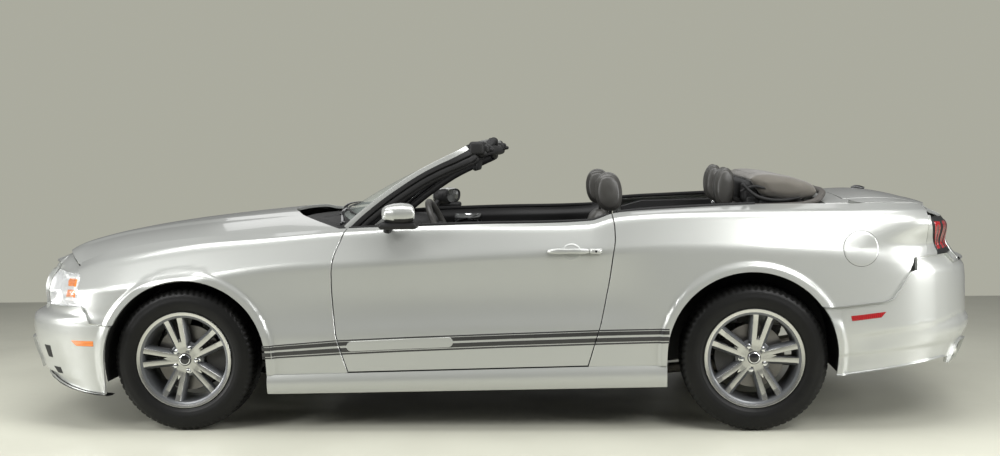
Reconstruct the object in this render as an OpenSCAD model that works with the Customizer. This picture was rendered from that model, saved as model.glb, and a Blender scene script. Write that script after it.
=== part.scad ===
/* [Overall] */
// Length over both bumpers
length = 4788; // [4700:1:4880]
// Width over the body sides
body_w = 1877; // [1850:1:1910]
// Distance between the axles
wheelbase = 2720; // [2690:1:2750]
// Front axle to the nose
front_overhang = 953; // [935:1:970]

/* [Body panels] */
// Thickness of a skin panel
panel_t = 3; // [2:0.5:4]
// Gap round the doors, the hood and the boot lid
gap = 7.5; // [6:0.5:9]
// Seam between panels that are bolted to each other
seam = 0.8; // [0.5:0.1:1]
// Thickness of a door from skin to trim
door_t = 120; // [100:1:135]
// Radius of the front wheel opening
arch_f_r = 395; // [390:1:405]
// Radius of the rear wheel opening
arch_r_r = 393; // [388:1:403]
// How far the lips of the wheel openings stand out
flare_h = 12; // [6:1:16]
// Width of the raised lip round a wheel opening
flare_w = 48; // [30:1:60]
// Height of the raised middle of the hood
dome_h = 16; // [8:1:24]

/* [Wheels] */
// Outside diameter of a tyre
tyre_od = 690; // [670:1:700]
// Width of a tyre
tyre_w = 235; // [215:1:245]
// Height of a tyre's sidewall above the rim's lip
sidewall = 111.5; // [105:0.5:118]
// Distance between the front tyres' middles
track_f = 1572; // [1555:1:1580]
// Distance between the rear tyres' middles
track_r = 1588; // [1570:1:1596]
// Diameter of a front brake disc
disc_d = 316; // [290:1:330]
// Number of spoke pairs in a rim
spoke_pairs = 5; // [4:1:7]

/* [Cabin] */
// Height of the cabin floor
floor_z = 230; // [220:1:250]
// Thickness of the floor's sheet and ribs
floor_t = 24; // [16:1:30]
// Outside diameter of the steering wheel
steer_d = 380; // [350:1:400]
// Width of a front seat
seat_w = 500; // [470:1:505]
// Diameter of a hinge pin
pin_d = 10; // [8:1:12]

/* [Hidden] */

half_w = body_w / 2;
nose_x = length / 2;
tail_x = -length / 2;
xf = nose_x - front_overhang;
xr = xf - wheelbase;
tyre_r = tyre_od / 2;
rim_d = tyre_od - 2 * sidewall;
seat = 0.3;
paint = "gainsboro";
trim = "dimgray";

// Where the body side starts to wrap round to the nose and to the tail, and how square it does so
wrap_f = xf + 209;
square_f = 2.8;
function wrap_r(z) = xr - lerp(281, 420, ease((z - 850) / 150));
function square_r(z) = lerp(3.2, 5.5, ease((z - 850) / 150));

// Middles of the wheel openings
arch_f_x = xf - 15;
arch_f_z = 340;
arch_r_x = xr + 12;
arch_r_z = 362;

// Front profile on the middle line: height, distance behind the nose
nose = [[150, 110], [179, 95], [236, 63], [308, 48], [360, 26], [422, 7], [480, 0], [512, 0], [538, 7], [552, 30],
  [562, 84], [580, 94], [627, 89], [704, 76], [760, 74], [796, 106]];
// Rear profile on the middle line: height, distance before the tail
tail = [[240, 130], [263, 108], [292, 71], [342, 51], [416, 21], [452, 0], [486, 0], [510, 15], [686, 17],
  [740, 22], [770, 44], [809, 80], [858, 111], [947, 150], [990, 185], [1031, 232], [1056, 262]];

door_f_x = xf - 736;
door_r_x = xr + 653;
door_mid_x = (door_f_x + door_r_x) / 2;
// Body side by stations from tail to nose. Columns: x, then inset from the half width and height of
// the sill edge, the low crease, the waist, the high crease, the shoulder and the top edge
side = [
  [tail_x,        34, 262, 14, 480, 22, 620, 26, 760, 58, 985, 250, 1010],
  [xr - 761,      34, 262, 14, 480, 20, 620, 24, 790, 74, 1020, 186, 1050],
  [xr - 382,      34, 255, 10, 480, 12, 620, 16, 830, 72, 1026, 192, 1057],
  [xr,            34, 245, 8, 470, 2, 620, 9, 860, 70, 1030, 196, 1056],
  [xr + 399,      34, 222, 8, 470, 10, 600, 10, 872, 70, 1026, 180, 1042],
  [xr + 560,      34, 219, 10, 475, 26, 610, 8, 868, 70, 1014, 150, 1034],
  [xr + 653,      34, 216, 12, 478, 34, 620, 8, 863, 72, 1000, 132, 1024],
  [xr + 760,      34, 213, 12, 478, 36, 620, 8, 857, 74, 972, 116, 992],
  [door_mid_x,    34, 206, 12, 470, 38, 610, 12, 836, 80, 962, 110, 983],
  [door_f_x - 320, 35, 196, 12, 460, 38, 600, 15, 818, 85, 955, 112, 975],
  [door_f_x - 40, 36, 190, 14, 450, 36, 590, 19, 807, 92, 948, 150, 966],
  [xf - 441,      38, 186, 16, 440, 30, 580, 22, 790, 100, 924, 176, 945],
  [xf,            40, 186, 12, 430, 10, 560, 12, 730, 106, 884, 198, 923],
  [xf + 409,      40, 186, 14, 430, 16, 560, 30, 690, 116, 812, 238, 861],
  [xf + 660,      44, 190, 22, 430, 28, 560, 46, 670, 136, 742, 262, 780],
  [nose_x,        48, 200, 30, 430, 36, 560, 60, 660, 150, 690, 300, 726]];
// How far each corner of a section is rounded, as a share of the lines beside it
round_share = [0, 0.3, 0.5, 0.13, 0.26, 0];
round_n = [1, 3, 3, 3, 4, 1];
v_top = 14;

function clamp(a, lo = 0, hi = 1) = min(max(a, lo), hi);
function lerp(a, b, t) = a + (b - a) * t;
function ease(t) = let(c = clamp(t)) c * c * (3 - 2 * c);
function sum(v, i = 0) = i < len(v) - 1 ? v[i] + sum(v, i + 1) : v[i];
function seg(tab, x, i = 0) = i >= len(tab) - 2 || x < tab[i + 1][0] ? i : seg(tab, x, i + 1);
function slope(tab, c, i) = let(a = max(i - 1, 0), b = min(i + 1, len(tab) - 1))
  (tab[b][c] - tab[a][c]) / (tab[b][0] - tab[a][0]);
// A smooth curve through column c of a table, at x
function smooth(tab, c, x) = let(i = seg(tab, x), h = tab[i + 1][0] - tab[i][0],
  t = clamp((x - tab[i][0]) / h), a = tab[i][c], b = tab[i + 1][c])
  a * (1 + 2 * t) * (1 - t) * (1 - t) + b * t * t * (3 - 2 * t)
  + h * (slope(tab, c, i) * t * (1 - t) * (1 - t) - slope(tab, c, i + 1) * t * t * (1 - t));

function nose_at(z) = nose_x - lookup(z, nose);
function tail_at(z) = tail_x + lookup(z, tail);
// Share of the half width that is left where the body wraps round its ends
function wrap(x, z) =
  x > wrap_f ? let(s = clamp((x - wrap_f) / (nose_at(z) - wrap_f))) pow(1 - pow(s, square_f), 1 / square_f) :
  x < wrap_r(z) ? let(s = clamp((x - wrap_r(z)) / (tail_at(z) - wrap_r(z)))) pow(1 - pow(s, square_r(z)), 1 / square_r(z)) : 1;
// Raised lip round the wheel openings
function lip(x, z) = let(df = norm([x - arch_f_x, z - arch_f_z]) - arch_f_r,
  dr = norm([x - arch_r_x, z - arch_r_z]) - arch_r_r)
  flare_h * (ease((flare_w - df) / 16) + ease((flare_w - dr) / 16));

// Corners of the section at x, and the section with its corners rounded, before the ends wrap
function corners(x) = [for (i = [0:5]) [half_w - smooth(side, 2 * i + 1, x), smooth(side, 2 * i + 2, x)]];
function section(x) = let(p = corners(x)) [for (i = [0:5]) each round_n[i] == 1 ? [p[i]] :
  let(a = lerp(p[i], p[i - 1], round_share[i]), b = lerp(p[i], p[i + 1], round_share[i]), n = round_n[i] - 1)
  [for (k = [0:n]) let(t = k / n) a * (1 - t) * (1 - t) + p[i] * 2 * t * (1 - t) + b * t * t]];
// Half width at x and z, and the section's own coordinate at a height
function side_y(x, z, s = undef) = let(q = is_undef(s) ? section(x) : s)
  lookup(z, [for (p = q) [p[1], p[0]]]) * wrap(x, z) + lip(x, z);
function v_at(x, z) = let(q = section(x)) lookup(z, [for (i = [0:v_top]) [q[i][1], i]]);
function skin(x, v) = let(q = section(x), z = lookup(v, [for (i = [0:v_top]) [i, q[i][1]]]),
  y = lookup(v, [for (i = [0:v_top]) [i, q[i][0]]])) [x, y * wrap(x, z) + lip(x, z), z];
function top_y(x) = skin(x, v_top)[1];
function top_z(x) = skin(x, v_top)[2];

// Points of the nose and the tail at an angle from the middle line
function raw_y(x, z) = let(q = section(x)) lookup(z, [for (p = q) [p[1], p[0]]]);
function nose_pt(a, z) = let(x = wrap_f + (nose_at(z) - wrap_f) * pow(cos(a), 2 / square_f))
  [x, sign(a) * (raw_y(x, z) * pow(abs(sin(a)), 2 / square_f) + (a == 0 ? 0 : lip(x, z))), z];
function tail_px(a, z) = wrap_r(z) + (tail_at(z) - wrap_r(z)) * pow(cos(a), 2 / square_r(z));
function tail_pt(a, z) = let(x = tail_px(a, z))
  [x, sign(a) * (raw_y(x, z) * pow(abs(sin(a)), 2 / square_r(z)) + (a == 0 ? 0 : lip(x, z))), z];
// Angles of a point of the nose at x, and of the tail at x, and the x of both at a distance from the middle
function nose_a(x, z) = acos(pow(clamp((x - wrap_f) / (nose_at(z) - wrap_f)), square_f / 2));
function tail_a(x, z) = acos(pow(clamp((x - wrap_r(z)) / (tail_at(z) - wrap_r(z))), square_r(z) / 2));
function nose_x_at(y, z) = wrap_f + (nose_at(z) - wrap_f) * pow(1 - pow(clamp(abs(y) / raw_y(nose_x - 200, z)), square_f), 1 / square_f);
function tail_x_at(y, z) = wrap_r(z) + (tail_at(z) - wrap_r(z))
  * pow(1 - pow(clamp(abs(y) / raw_y(tail_x + 200, z)), square_r(z)), 1 / square_r(z));

// Shut lines of the door in side view: height, distance behind the front line's most forward point
door_f_cut = [[260, 80], [273, 75], [383, 40], [465, 17], [585, 6], [681, 0], [777, 2], [848, 13], [919, 43], [1000, 72]];
door_r_cut = [[290, 134], [308, 127], [413, 94], [507, 64], [601, 44], [719, 20], [836, 2], [906, -9], [976, -6], [1040, 10]];
function door_f(z) = door_f_x - lookup(z, door_f_cut);
function door_r(z) = door_r_x + lookup(z, door_r_cut);
sill_top = [[xr + 399, 316], [xr + 780, 310], [xf - 814, 284], [xf - 430, 275]];
function sill_z(x) = lookup(x, sill_top);

// A closed sheet from two grids of points: cells where keep(i, j) holds, with walls round its edges
function normal_at(g, i, j) = let(n = len(g) - 1, m = len(g[0]) - 1,
  du = g[min(i + 1, n)][j] - g[max(i - 1, 0)][j], dv = g[i][min(j + 1, m)] - g[i][max(j - 1, 0)],
  c = cross(du, dv)) norm(c) < 1e-9 ? [0, 0, 0] : c / norm(c);
function inner(g, t) = [for (i = [0:len(g) - 1]) [for (j = [0:len(g[0]) - 1]) g[i][j] - t * normal_at(g, i, j)]];
module sheet(g, h, mask = undef) {
  n = len(g);
  m = len(g[0]);
  o = n * m;
  function on(i, j) = i >= 0 && j >= 0 && i < n - 1 && j < m - 1 && (is_undef(mask) || mask[i][j]);
  function id(i, j) = i * m + j;
  polyhedron([for (r = g) each r, for (r = h) each r],
    [for (i = [0:n - 2]) for (j = [0:m - 2]) if (on(i, j)) each [
      [id(i, j), id(i, j + 1), id(i + 1, j + 1)], [id(i, j), id(i + 1, j + 1), id(i + 1, j)],
      [o + id(i, j), o + id(i + 1, j + 1), o + id(i, j + 1)],
      [o + id(i, j), o + id(i + 1, j), o + id(i + 1, j + 1)],
      if (!on(i - 1, j)) each quad(id(i, j + 1), id(i, j), o + id(i, j), o + id(i, j + 1)),
      if (!on(i + 1, j)) each quad(id(i + 1, j), id(i + 1, j + 1), o + id(i + 1, j + 1), o + id(i + 1, j)),
      if (!on(i, j - 1)) each quad(id(i, j), id(i + 1, j), o + id(i + 1, j), o + id(i, j)),
      if (!on(i, j + 1)) each quad(id(i + 1, j + 1), id(i, j + 1), o + id(i, j + 1), o + id(i + 1, j + 1))]]);
}
function quad(a, b, c, d) = [[a, b, c], [a, c, d]];
module both() {
  children();
  mirror([0, 1, 0]) children();
}

// A closed solid through rings of points, each ring turning right-handed about the way of travel
module loft(r) {
  n = len(r);
  m = len(r[0]);
  polyhedron([for (k = r) each k],
    [[for (j = [0:m - 1]) j], [for (j = [m - 1:-1:0]) (n - 1) * m + j],
      for (i = [0:n - 2]) for (j = [0:m - 1]) each let(k = (j + 1) % m)
        [[i * m + j, (i + 1) * m + k, i * m + k], [i * m + j, (i + 1) * m + j, (i + 1) * m + k]]]);
}
function unit(v) = v / norm(v);
function octagon(w, h, c = 0.35) = [for (p = [[1, c - 1], [1, 1 - c], [1 - c, 1], [c - 1, 1], [-1, 1 - c],
  [-1, c - 1], [c - 1, -1], [1 - c, -1]]) [p[0] * w / 2, p[1] * h / 2]];
function along(path, shape, up = [0, 0, 1]) = [for (i = [0:len(path) - 1])
  let(d = unit(path[min(i + 1, len(path) - 1)] - path[max(i - 1, 0)]), a = unit(cross(up, d)), b = cross(d, a))
  [for (p = shape) path[i] + p[0] * a + p[1] * b]];
// A padded block: a side profile of x and z, counter-clockwise, carried across the width w at y
module pillow(profile, w, y, r = 40) {
  c = sum(profile) / len(profile);
  loft([for (e = [[0, 0.88], [0.3, 0.97], [1, 1], [w / r - 1, 1], [w / r - 0.3, 0.97], [w / r, 0.88]])
    [for (p = profile) let(q = c + (p - c) * e[1]) [q[0], y + w / 2 - e[0] * r, q[1]]]]);
}
// A plate or bar that runs across the car between two values of y, from a side profile of x and z
module across(profile, y0, y1) translate([0, y1, 0]) rotate([90, 0, 0]) linear_extrude(y1 - y0) polygon(profile);
module bar(lo, hi) translate(lo) cube(hi - lo);
module rod(a, b, r, fn = 32) translate(a) rotate([0, acos((b - a)[2] / norm(b - a)), atan2((b - a)[1], (b - a)[0])])
  cylinder(r = r, h = norm(b - a), $fn = fn);

// Columns of a side panel, front to back: for each height z the x, and the height of its lower edge
side_rows = 6;
flange = 42;
function rows_from(vb, v_mid) = [for (k = [0:side_rows - 1]) lerp(vb, v_mid, k / side_rows), for (v = [v_mid:v_top]) v];
function panel_col(xb, zb, cut_a, cut_b, s, v_mid) = let(vb = v_at(xb, zb)) [for (v = rows_from(vb, v_mid))
  let(z0 = skin(xb, v)[2], x = lerp(cut_a(z0), cut_b(z0), s), z1 = skin(x, v)[2]) skin(lerp(cut_a(z1), cut_b(z1), s), v)];
// The same with a flange turned down along its top edge
function flanged(g, d = flange) = [for (r = g) concat(r, [r[len(r) - 1] - [0, 0, d]])];

// Front fender
fender_z0 = 520;
fender_cut = [[520, 1884 - xf], [600, 1930 - xf], [640, 1966 - xf], [745, 1972 - xf], [800, 2030 - xf], [861, 2050 - xf]];
function fender_f(z) = xf + lookup(z, fender_cut);
fender_a0 = asin((fender_z0 - arch_f_z) / arch_f_r);
function arch_pt_f(a) = [arch_f_x + arch_f_r * cos(a), arch_f_z + arch_f_r * sin(a)];
function arch_pt_r(a) = [arch_r_x + arch_r_r * cos(a), arch_r_z + arch_r_r * sin(a)];
function fender_grid() = let(xa = arch_pt_f(fender_a0)[0], xb = arch_f_x - arch_f_r - 2, v_mid = 9, ahead = 4, back = 4)
  [for (i = [0:ahead - 1]) let(s = i / ahead) panel_col(lerp(fender_f(fender_z0), xa, s), fender_z0,
      function(z) fender_f(z), function(z) xa, s, v_mid),
    for (k = [0:14]) let(p = arch_pt_f(lerp(fender_a0, 180, k / 14))) panel_col(p[0], p[1],
      function(z) p[0], function(z) p[0], 0, v_mid),
    for (i = [0:back]) let(s = i / back, x = lerp(xb, door_f(300) + gap, s)) panel_col(x, sill_z(x) + seam,
      function(z) xb, function(z) door_f(z) + gap, s, v_mid)];
module fender() color(paint) difference() {
  let(g = flanged(fender_grid())) sheet(g, inner(g, panel_t));
  // Slot in the flange that the hood's hinge passes through
  bar([hood_pin[0] - 30, hood_edge - 5, hood_pin[1] - 40], [hood_pin[0] + 30, hood_edge + gap + 16, hood_pin[1] + 10.5]);
}
module fender_left() fender();
module fender_right() mirror([0, 1, 0]) fender();

// Rear quarter, with its lower edge behind the wheel on the bumper's shut line
bumper_cut = [[xr - 850, 905], [xr - 783, 868], [xr - 752, 823], [xr - 707, 731], [xr - 663, 662], [xr - 631, 620],
  [xr - 595, 607], [xr - 382, 586]];
quarter_end = xr - 806;
cut_seam = 4;
function quarter_low(x) = min(lookup(x, bumper_cut), 806);
function quarter_grid() = let(xa = arch_r_x + arch_r_r + 2, xb = arch_r_x - arch_r_r,
  a1 = 180 - asin((590 + cut_seam - arch_r_z) / arch_r_r), v_mid = 9, ahead = 5)
  [for (i = [0:ahead]) let(s = i / ahead, x = lerp(door_r(320) - gap, xa, s)) panel_col(x, sill_z(x) + seam,
      function(z) door_r(z) - gap, function(z) xa, s, v_mid),
    for (k = [0:14]) let(p = arch_pt_r(lerp(0, a1, k / 14))) panel_col(p[0], p[1],
      function(z) p[0], function(z) p[0], 0, v_mid),
    for (x = [xr - 595, xr - 631, xr - 663, xr - 707, xr - 752, quarter_end]) panel_col(x,
      quarter_low(x) + cut_seam, function(z) x, function(z) x, 0, v_mid)];
module quarter() color(paint) let(g = flanged(quarter_grid(), 24)) sheet(g, inner(g, panel_t));
module quarter_left() quarter();
module quarter_right() mirror([0, 1, 0]) quarter();

// Doors: the outer skin, and an inner face on a flat plane
hinge_x = door_f_x - 92;
hinge_y = half_w - 40;
hinge_z = [432, 722];
pin_r = pin_d / 2;
pin_fit = 0.1;
door_in = half_w - 42 - door_t;
door_cols = 9;
function door_grid() = let(v_mid = 7) [for (i = [0:door_cols]) let(s = i / door_cols, xs = lerp(door_f(300), door_r(300), s))
  panel_col(xs, sill_z(xs) + gap, function(z) door_f(z), function(z) door_r(z), s, v_mid)];
module door() color(paint) {
  g = door_grid();
  m = len(g[0]) - 1;
  h = [for (i = [0:door_cols]) let(lo = g[i][0][2], hi = g[i][m][2]) [for (j = [0:m]) let(p = g[i][j])
    [p[0] + lerp(-24, 34, i / door_cols), door_in, lerp(lo + 26, hi - 8, clamp((p[2] - lo) / (hi - lo)))]]];
  difference() {
    union() {
      difference() {
        sheet(g, h);
        for (z = hinge_z) bar([hinge_x - 25, door_in - 1, z - 6], [door_f_x + 10, hinge_y + 12, z + 46]);
      }
      for (z = hinge_z) {
        translate([hinge_x, hinge_y, z + 8.3]) cylinder(r = pin_r + 4.5, h = 32, $fn = 32);
        bar([hinge_x - 7, hinge_y, z + 8.3], [hinge_x + 7, hinge_y + 14, z + 40.3]);
      }
    }
    for (z = hinge_z) translate([hinge_x, hinge_y, z]) cylinder(r = pin_r + pin_fit, h = 46, $fn = 32);
  }
}
// The body's half of a door hinge: an arm from the post, bent round the door's edge, with the pin
post_x = [door_f_x - 15, door_f_x + 67];
post_y = [700, door_in - 4.5];
module door_hinge(z) {
  difference() {
    translate([0, 0, z]) linear_extrude(8) union() {
      translate([hinge_x, hinge_y]) circle(r = pin_r + 5, $fn = 32);
      translate([hinge_x - 10, hinge_y - 110]) square([20, 110]);
      translate([hinge_x - 10, hinge_y - 110]) square([post_x[0] + 20 - hinge_x, 22]);
      translate([post_x[0], post_y[1] - 4]) square([20, hinge_y - 90 - post_y[1]]);
    }
  }
  translate([hinge_x, hinge_y, z]) cylinder(r = pin_r, h = 40, $fn = 32);
}
module door_left() door();
module door_right() mirror([0, 1, 0]) door();

// Mirror: a cap on a short arm that stands on the front corner of the door's top
mirror_c = [door_f_x - 342, half_w + 12, 1048];
module wing_mirror() color(paint) {
  loft([for (e = [[-1, 0.72], [-0.7, 0.94], [0.1, 1], [0.75, 0.86], [1, 0.5]])
    [for (a = [0:30:330]) mirror_c + [e[0] * 76, 86 * e[1] * cos(a) * (1 - 0.1 * e[0]), 48 * e[1] * sin(a)]]]);
  loft(along([[door_f_x - 262, door_in + 76, 972], [door_f_x - 276, door_in + 106, 1000],
    [door_f_x - 300, half_w - 34, 1018]], octagon(84, 34)));
}
module mirror_left() wing_mirror();
module mirror_right() mirror([0, 1, 0]) wing_mirror();

// Hood: its crown on the middle line, and a raised middle between two ridges
hood_crown = [[xf - 441, 1038], [xf - 109, 1009], [xf + 169, 980], [xf + 393, 950], [xf + 562, 919], [xf + 732, 876],
  [xf + 800, 846], [xf + 850, 812]];
hood_front = 846;
hood_back = -400;
hood_back_side = -766;
function hood_z(x, q) = lerp(lookup(x, hood_crown), top_z(x) + 2, pow(abs(q), 3.4))
  + dome_h * (ease((0.60 - abs(q)) / 0.12) - 1) * 0.5 * ease((xf + 800 - x) / 200);
function hood_pt(s, q) = let(xf0 = lerp(xf + hood_front, xf + 612, pow(abs(q), 2.6)),
  xb0 = lerp(xf + hood_back, xf + hood_back_side, pow(abs(q), 2.4)), x = lerp(xf0, xb0, s))
  [x, q * (top_y(x) - gap), hood_z(x, q)];
function hood_grid() = [for (i = [0:14]) [for (q = [1, 0.94, 0.85, 0.73, 0.62, 0.58, 0.5, 0.3, 0, -0.3, -0.5, -0.58,
  -0.62, -0.73, -0.85, -0.94, -1]) hood_pt(pow(i / 14, 1.1), q)]];
hood_t = 16;
hood_pin = [xf - 739, top_z(xf - 739) - 13];
hood_edge = top_y(hood_pin[0]) - gap;
module hood() color(paint) difference() {
  union() {
    let(g = hood_grid()) sheet(g, [for (r = g) [for (p = r) p - [0, 0, hood_t]]]);
    both() bar([hood_pin[0] - 12, hood_edge - 18, hood_pin[1] - 9], [hood_pin[0] + 20, hood_edge - 0.5, hood_pin[1] + 8]);
  }
  both() translate([hood_pin[0], hood_edge + 10, hood_pin[1]]) rotate([90, 0, 0])
    cylinder(r = pin_r + pin_fit, h = 40, $fn = 32);
}

// Deck behind the cabin: the fixed panel round the lid, and the lid with its rear face
deck_crown = [[xr - 1000, 1036], [xr - 853, 1050], [xr - 753, 1080], [xr - 634, 1094], [xr - 546, 1090], [xr - 330, 1072]];
lid_y = 566;
lid_x = xr - 462;
lid_z = 1100;
lid_t = 26;
lid_low = 778;
deck_x = xr - 352;
function deck_z(x, y) = let(q = clamp(abs(y) / top_y(x))) lerp(lookup(x, deck_crown), top_z(x) + 1, pow(q, 2.4));
lid_rows = [1020, 990, 947, 900, 858, 809];
function lid_grid() = [for (i = [0:6]) [for (q = [1:-0.25:-1]) let(y = q * lid_y,
    x = lerp(lid_x, tail_x_at(y, 1046), i / 6)) [x, y, deck_z(x, y)]],
  for (z = concat(lid_rows, [lid_low])) [for (q = [1:-0.25:-1]) let(y = q * lid_y) [tail_x_at(y, z), y, z]]];
lid_pin = [lid_x + 147, 1041];
arm_y = 500;
arm_r = 168;
module trunk_lid() color(paint) {
  let(g = lid_grid()) sheet(g, inner(g, lid_t));
  // Goose-neck arms that clear the edge of the fixed panel when the lid swings up
  both() translate([lid_pin[0], arm_y, lid_pin[1]]) rotate([90, 0, 0]) linear_extrude(16) difference() {
    union() {
      circle(r = pin_r + 7, $fn = 32);
      polygon(concat([[-9, 0], [-9, -arm_r + 14]], [for (a = [268:-8:180]) (arm_r - 9) * [cos(a), sin(a)]],
        [[9 - arm_r, 36], [-arm_r - 14, 36]], [for (a = [180:8:272]) (arm_r + 9) * [cos(a), sin(a)]],
        [[9, -arm_r - 4], [9, 0]]));
    }
    circle(r = pin_r + pin_fit, $fn = 32);
  }
}
module deck_panel() color(paint) {
  let(g = [for (x = [deck_x, lid_x + gap]) [for (q = [1:-0.125:-1]) let(y = q * (top_y(x) - cut_seam)) [x, y, deck_z(x, y)]]])
    sheet(g, inner(g, panel_t));
  both() let(g = [for (i = [0:7]) [for (k = [0:3]) let(x0 = lerp(lid_x + gap, tail_x_at(lid_y + gap, 1046), i / 7),
      y = lerp(top_y(max(x0, quarter_end)) - cut_seam, lid_y + gap, k / 3),
      x = lerp(lid_x + gap, min(lid_x, tail_x_at(y, 1046)), i / 7)) [x, y, deck_z(x, y)]]])
    sheet(g, inner(g, panel_t));
}
// Tail lamps and the corner panels they sit in
lamp_r_low = 812;
lamp_r_h = 188;
function lid_a(z) = asin(pow(clamp((lid_y + gap) / raw_y(tail_x + 200, z)), square_r(z) / 2));
module tail_lamps() color("darkred") both() let(
  g = [for (e = [1, 0.787, 0.553, 0.309, 0], z = lamp_r_low + e * lamp_r_h) [for (k = [0:6])
    tail_pt(lerp(tail_a(quarter_end - cut_seam, z), lid_a(z), k / 6), z)]])
  sheet(g, [for (r = g) [for (k = [0:6]) r[k] + [46, 5 * k - 30, 0]]]);

// Front bumper: its sheet runs round the nose with openings for the lamps, the grille and the intake
bumper_rows = [186, 225, 262, 308, 340, 380, 422, 480, 515, 519, 538, 552, 562, 580, 604, 650, 704, 745, 782];
lamp_f_low = 604;
lamp_share = 0.54;
function f_edge(z) = z <= fender_z0 - 3 ? arch_f_x + sqrt(arch_f_r * arch_f_r - pow(max(z - arch_f_z, 0), 2)) + 1
  : fender_f(z) + cut_seam;
function f_start(z) = nose_a(f_edge(z), z);
f_cols = [1, 0.95, 0.9, 0.82, 0.72, 0.62, 0.54, 0.46, 0.4, 0.3, 0.2, 0.1];
f_all = concat(f_cols, [0], [for (k = [len(f_cols) - 1:-1:0]) -f_cols[k]]);
function front_grid() = [for (z = [for (k = [len(bumper_rows) - 1:-1:0]) bumper_rows[k]])
  [for (s = f_all) nose_pt(-s * f_start(min(z, lamp_f_low)), z)]];
function front_keep(z, s) = s > lamp_share ? z < lamp_f_low : s > 0.4 ? true :
  !(z > 562 && z < 745) && !(z > 262 && z < 422);
module front_bumper() color(paint) let(g = front_grid(), n = len(bumper_rows),
  mask = [for (i = [0:n - 2]) [for (j = [0:len(f_all) - 2]) front_keep((bumper_rows[n - 1 - i] + bumper_rows[n - 2 - i]) / 2,
    abs(f_all[j] + f_all[j + 1]) / 2)]])
  sheet(g, inner(g, panel_t), mask);
module grille() color(trim) for (e = [[566, 735, grille_x[0], 438], [266, 417, grille_x[1], 470]]) {
  difference() {
    bar([e[2] - 24, -e[3], e[0]], [e[2], e[3], e[1]]);
    bar([e[2] - 25, -e[3] + 12, e[0] + 10], [e[2] + 1, e[3] - 12, e[1] - 10]);
  }
  for (k = [1:5]) bar([e[2] - 18, -e[3] + 6, lerp(e[0], e[1], k / 6) - 2], [e[2] - 4, e[3] - 6, lerp(e[0], e[1], k / 6) + 2]);
  for (k = [1:21]) bar([e[2] - 16, lerp(-e[3], e[3], k / 22) - 2, e[0] + 5], [e[2] - 6, lerp(-e[3], e[3], k / 22) + 2, e[1] - 5]);
}
lamp_deep = [34, 26];
module headlamps() color("lightgray") both() let(a_in = lamp_share * f_start(lamp_f_low) + 1.1,
  g = [for (z = [754, 745, 704, 650, lamp_f_low + seam]) [for (k = [0:7])
    nose_pt(lerp(nose_a(fender_f(z) + cut_seam + 2, z), a_in, k / 7), z)]])
  sheet(g, [for (r = g) [for (p = r) p - [lamp_deep[0], lamp_deep[1], 0]]]);

// Rear bumper: from one wheel opening round the tail to the other
r_cut = [xr - 382, xr - 425, xr - 490, xr - 560, xr - 595, xr - 631, xr - 663, xr - 707, xr - 752, quarter_end];
r_angles = concat([for (x = r_cut) tail_a(x, quarter_low(x))], [50, 41, 37, 26, 22, 10, 0]);
function r_edge(z) = arch_r_x - sqrt(arch_r_r * arch_r_r - pow(z - arch_r_z, 2)) - 1;
r_all = concat(r_angles, [for (k = [len(r_angles) - 2:-1:0]) -r_angles[k]]);
notch_z = 398;
function rear_low(a) = let(b = abs(a)) b > 45 ? lookup(tail_px(b, 300), [[xr - 851, 332], [xr - 404, 272]])
  : lookup(b, [[22, 263], [26, notch_z], [37, notch_z], [41, 300]]);
function rear_high(a) = abs(a) > 50 ? let(z1 = quarter_low(tail_px(a, 640)), z2 = quarter_low(tail_px(a, z1)))
  quarter_low(tail_px(a, z2)) : abs(a) > 41 ? 806 : lid_low - gap - 4;
function rear_grid() = [for (k = [11:-1:0]) [for (a = r_all) let(z = lerp(rear_low(a), rear_high(a), k / 11))
  tail_pt(abs(a) == r_angles[0] ? sign(a) * tail_a(r_edge(z), z) : a, z)]];
plate_x = tail_at(620) - 6;
plate_z = 630;
plate_holes = [178, 121];
module rear_bumper() color(paint) difference() {
  union() {
    let(g = [for (r = rear_grid()) [for (k = [len(r) - 1:-1:0]) r[k]]]) sheet(g, inner(g, panel_t));
    // Flat pad for a number plate
    bar([plate_x, -160, plate_z - 80], [plate_x + 14, 160, plate_z + 80]);
  }
  for (y = [-0.5, 0.5]) for (z = [-0.5, 0.5]) translate([plate_x - 5, y * plate_holes[0], plate_z + z * plate_holes[1]])
    rotate([0, 90, 0]) cylinder(r = 3.5, h = 60, $fn = 32);
}

// Side skirts under the doors
module side_skirts() color(paint) both() let(g = [for (i = [0:8]) let(x = lerp(arch_f_x - arch_f_r - 2, arch_r_x + arch_r_r + 2, i / 8),
    hi = sill_z(x)) [for (t = [0, 0.25, 0.6, 1]) let(z = lerp(lookup(x, [[xr + 399, 214], [xf - 459, 184]]), hi, t)) [x,
      half_w - 36 + 22 * sin(180 * clamp(t * 0.7 + 0.12)), z]]])
  sheet(g, [for (r = g) [for (p = r) [p[0], half_w - 130, p[2]]]]);

// Floor: a plate with a tunnel, and a box section along each side under the doors
fire_x = xf - 600;
tub_y = 560;
riser_x = xr + 520;
sill_in = 640;
wall = 6;
sill_top_z = sill_z(0) + 36;
tunnel_w = 135;
tunnel_top = 420;
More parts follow.
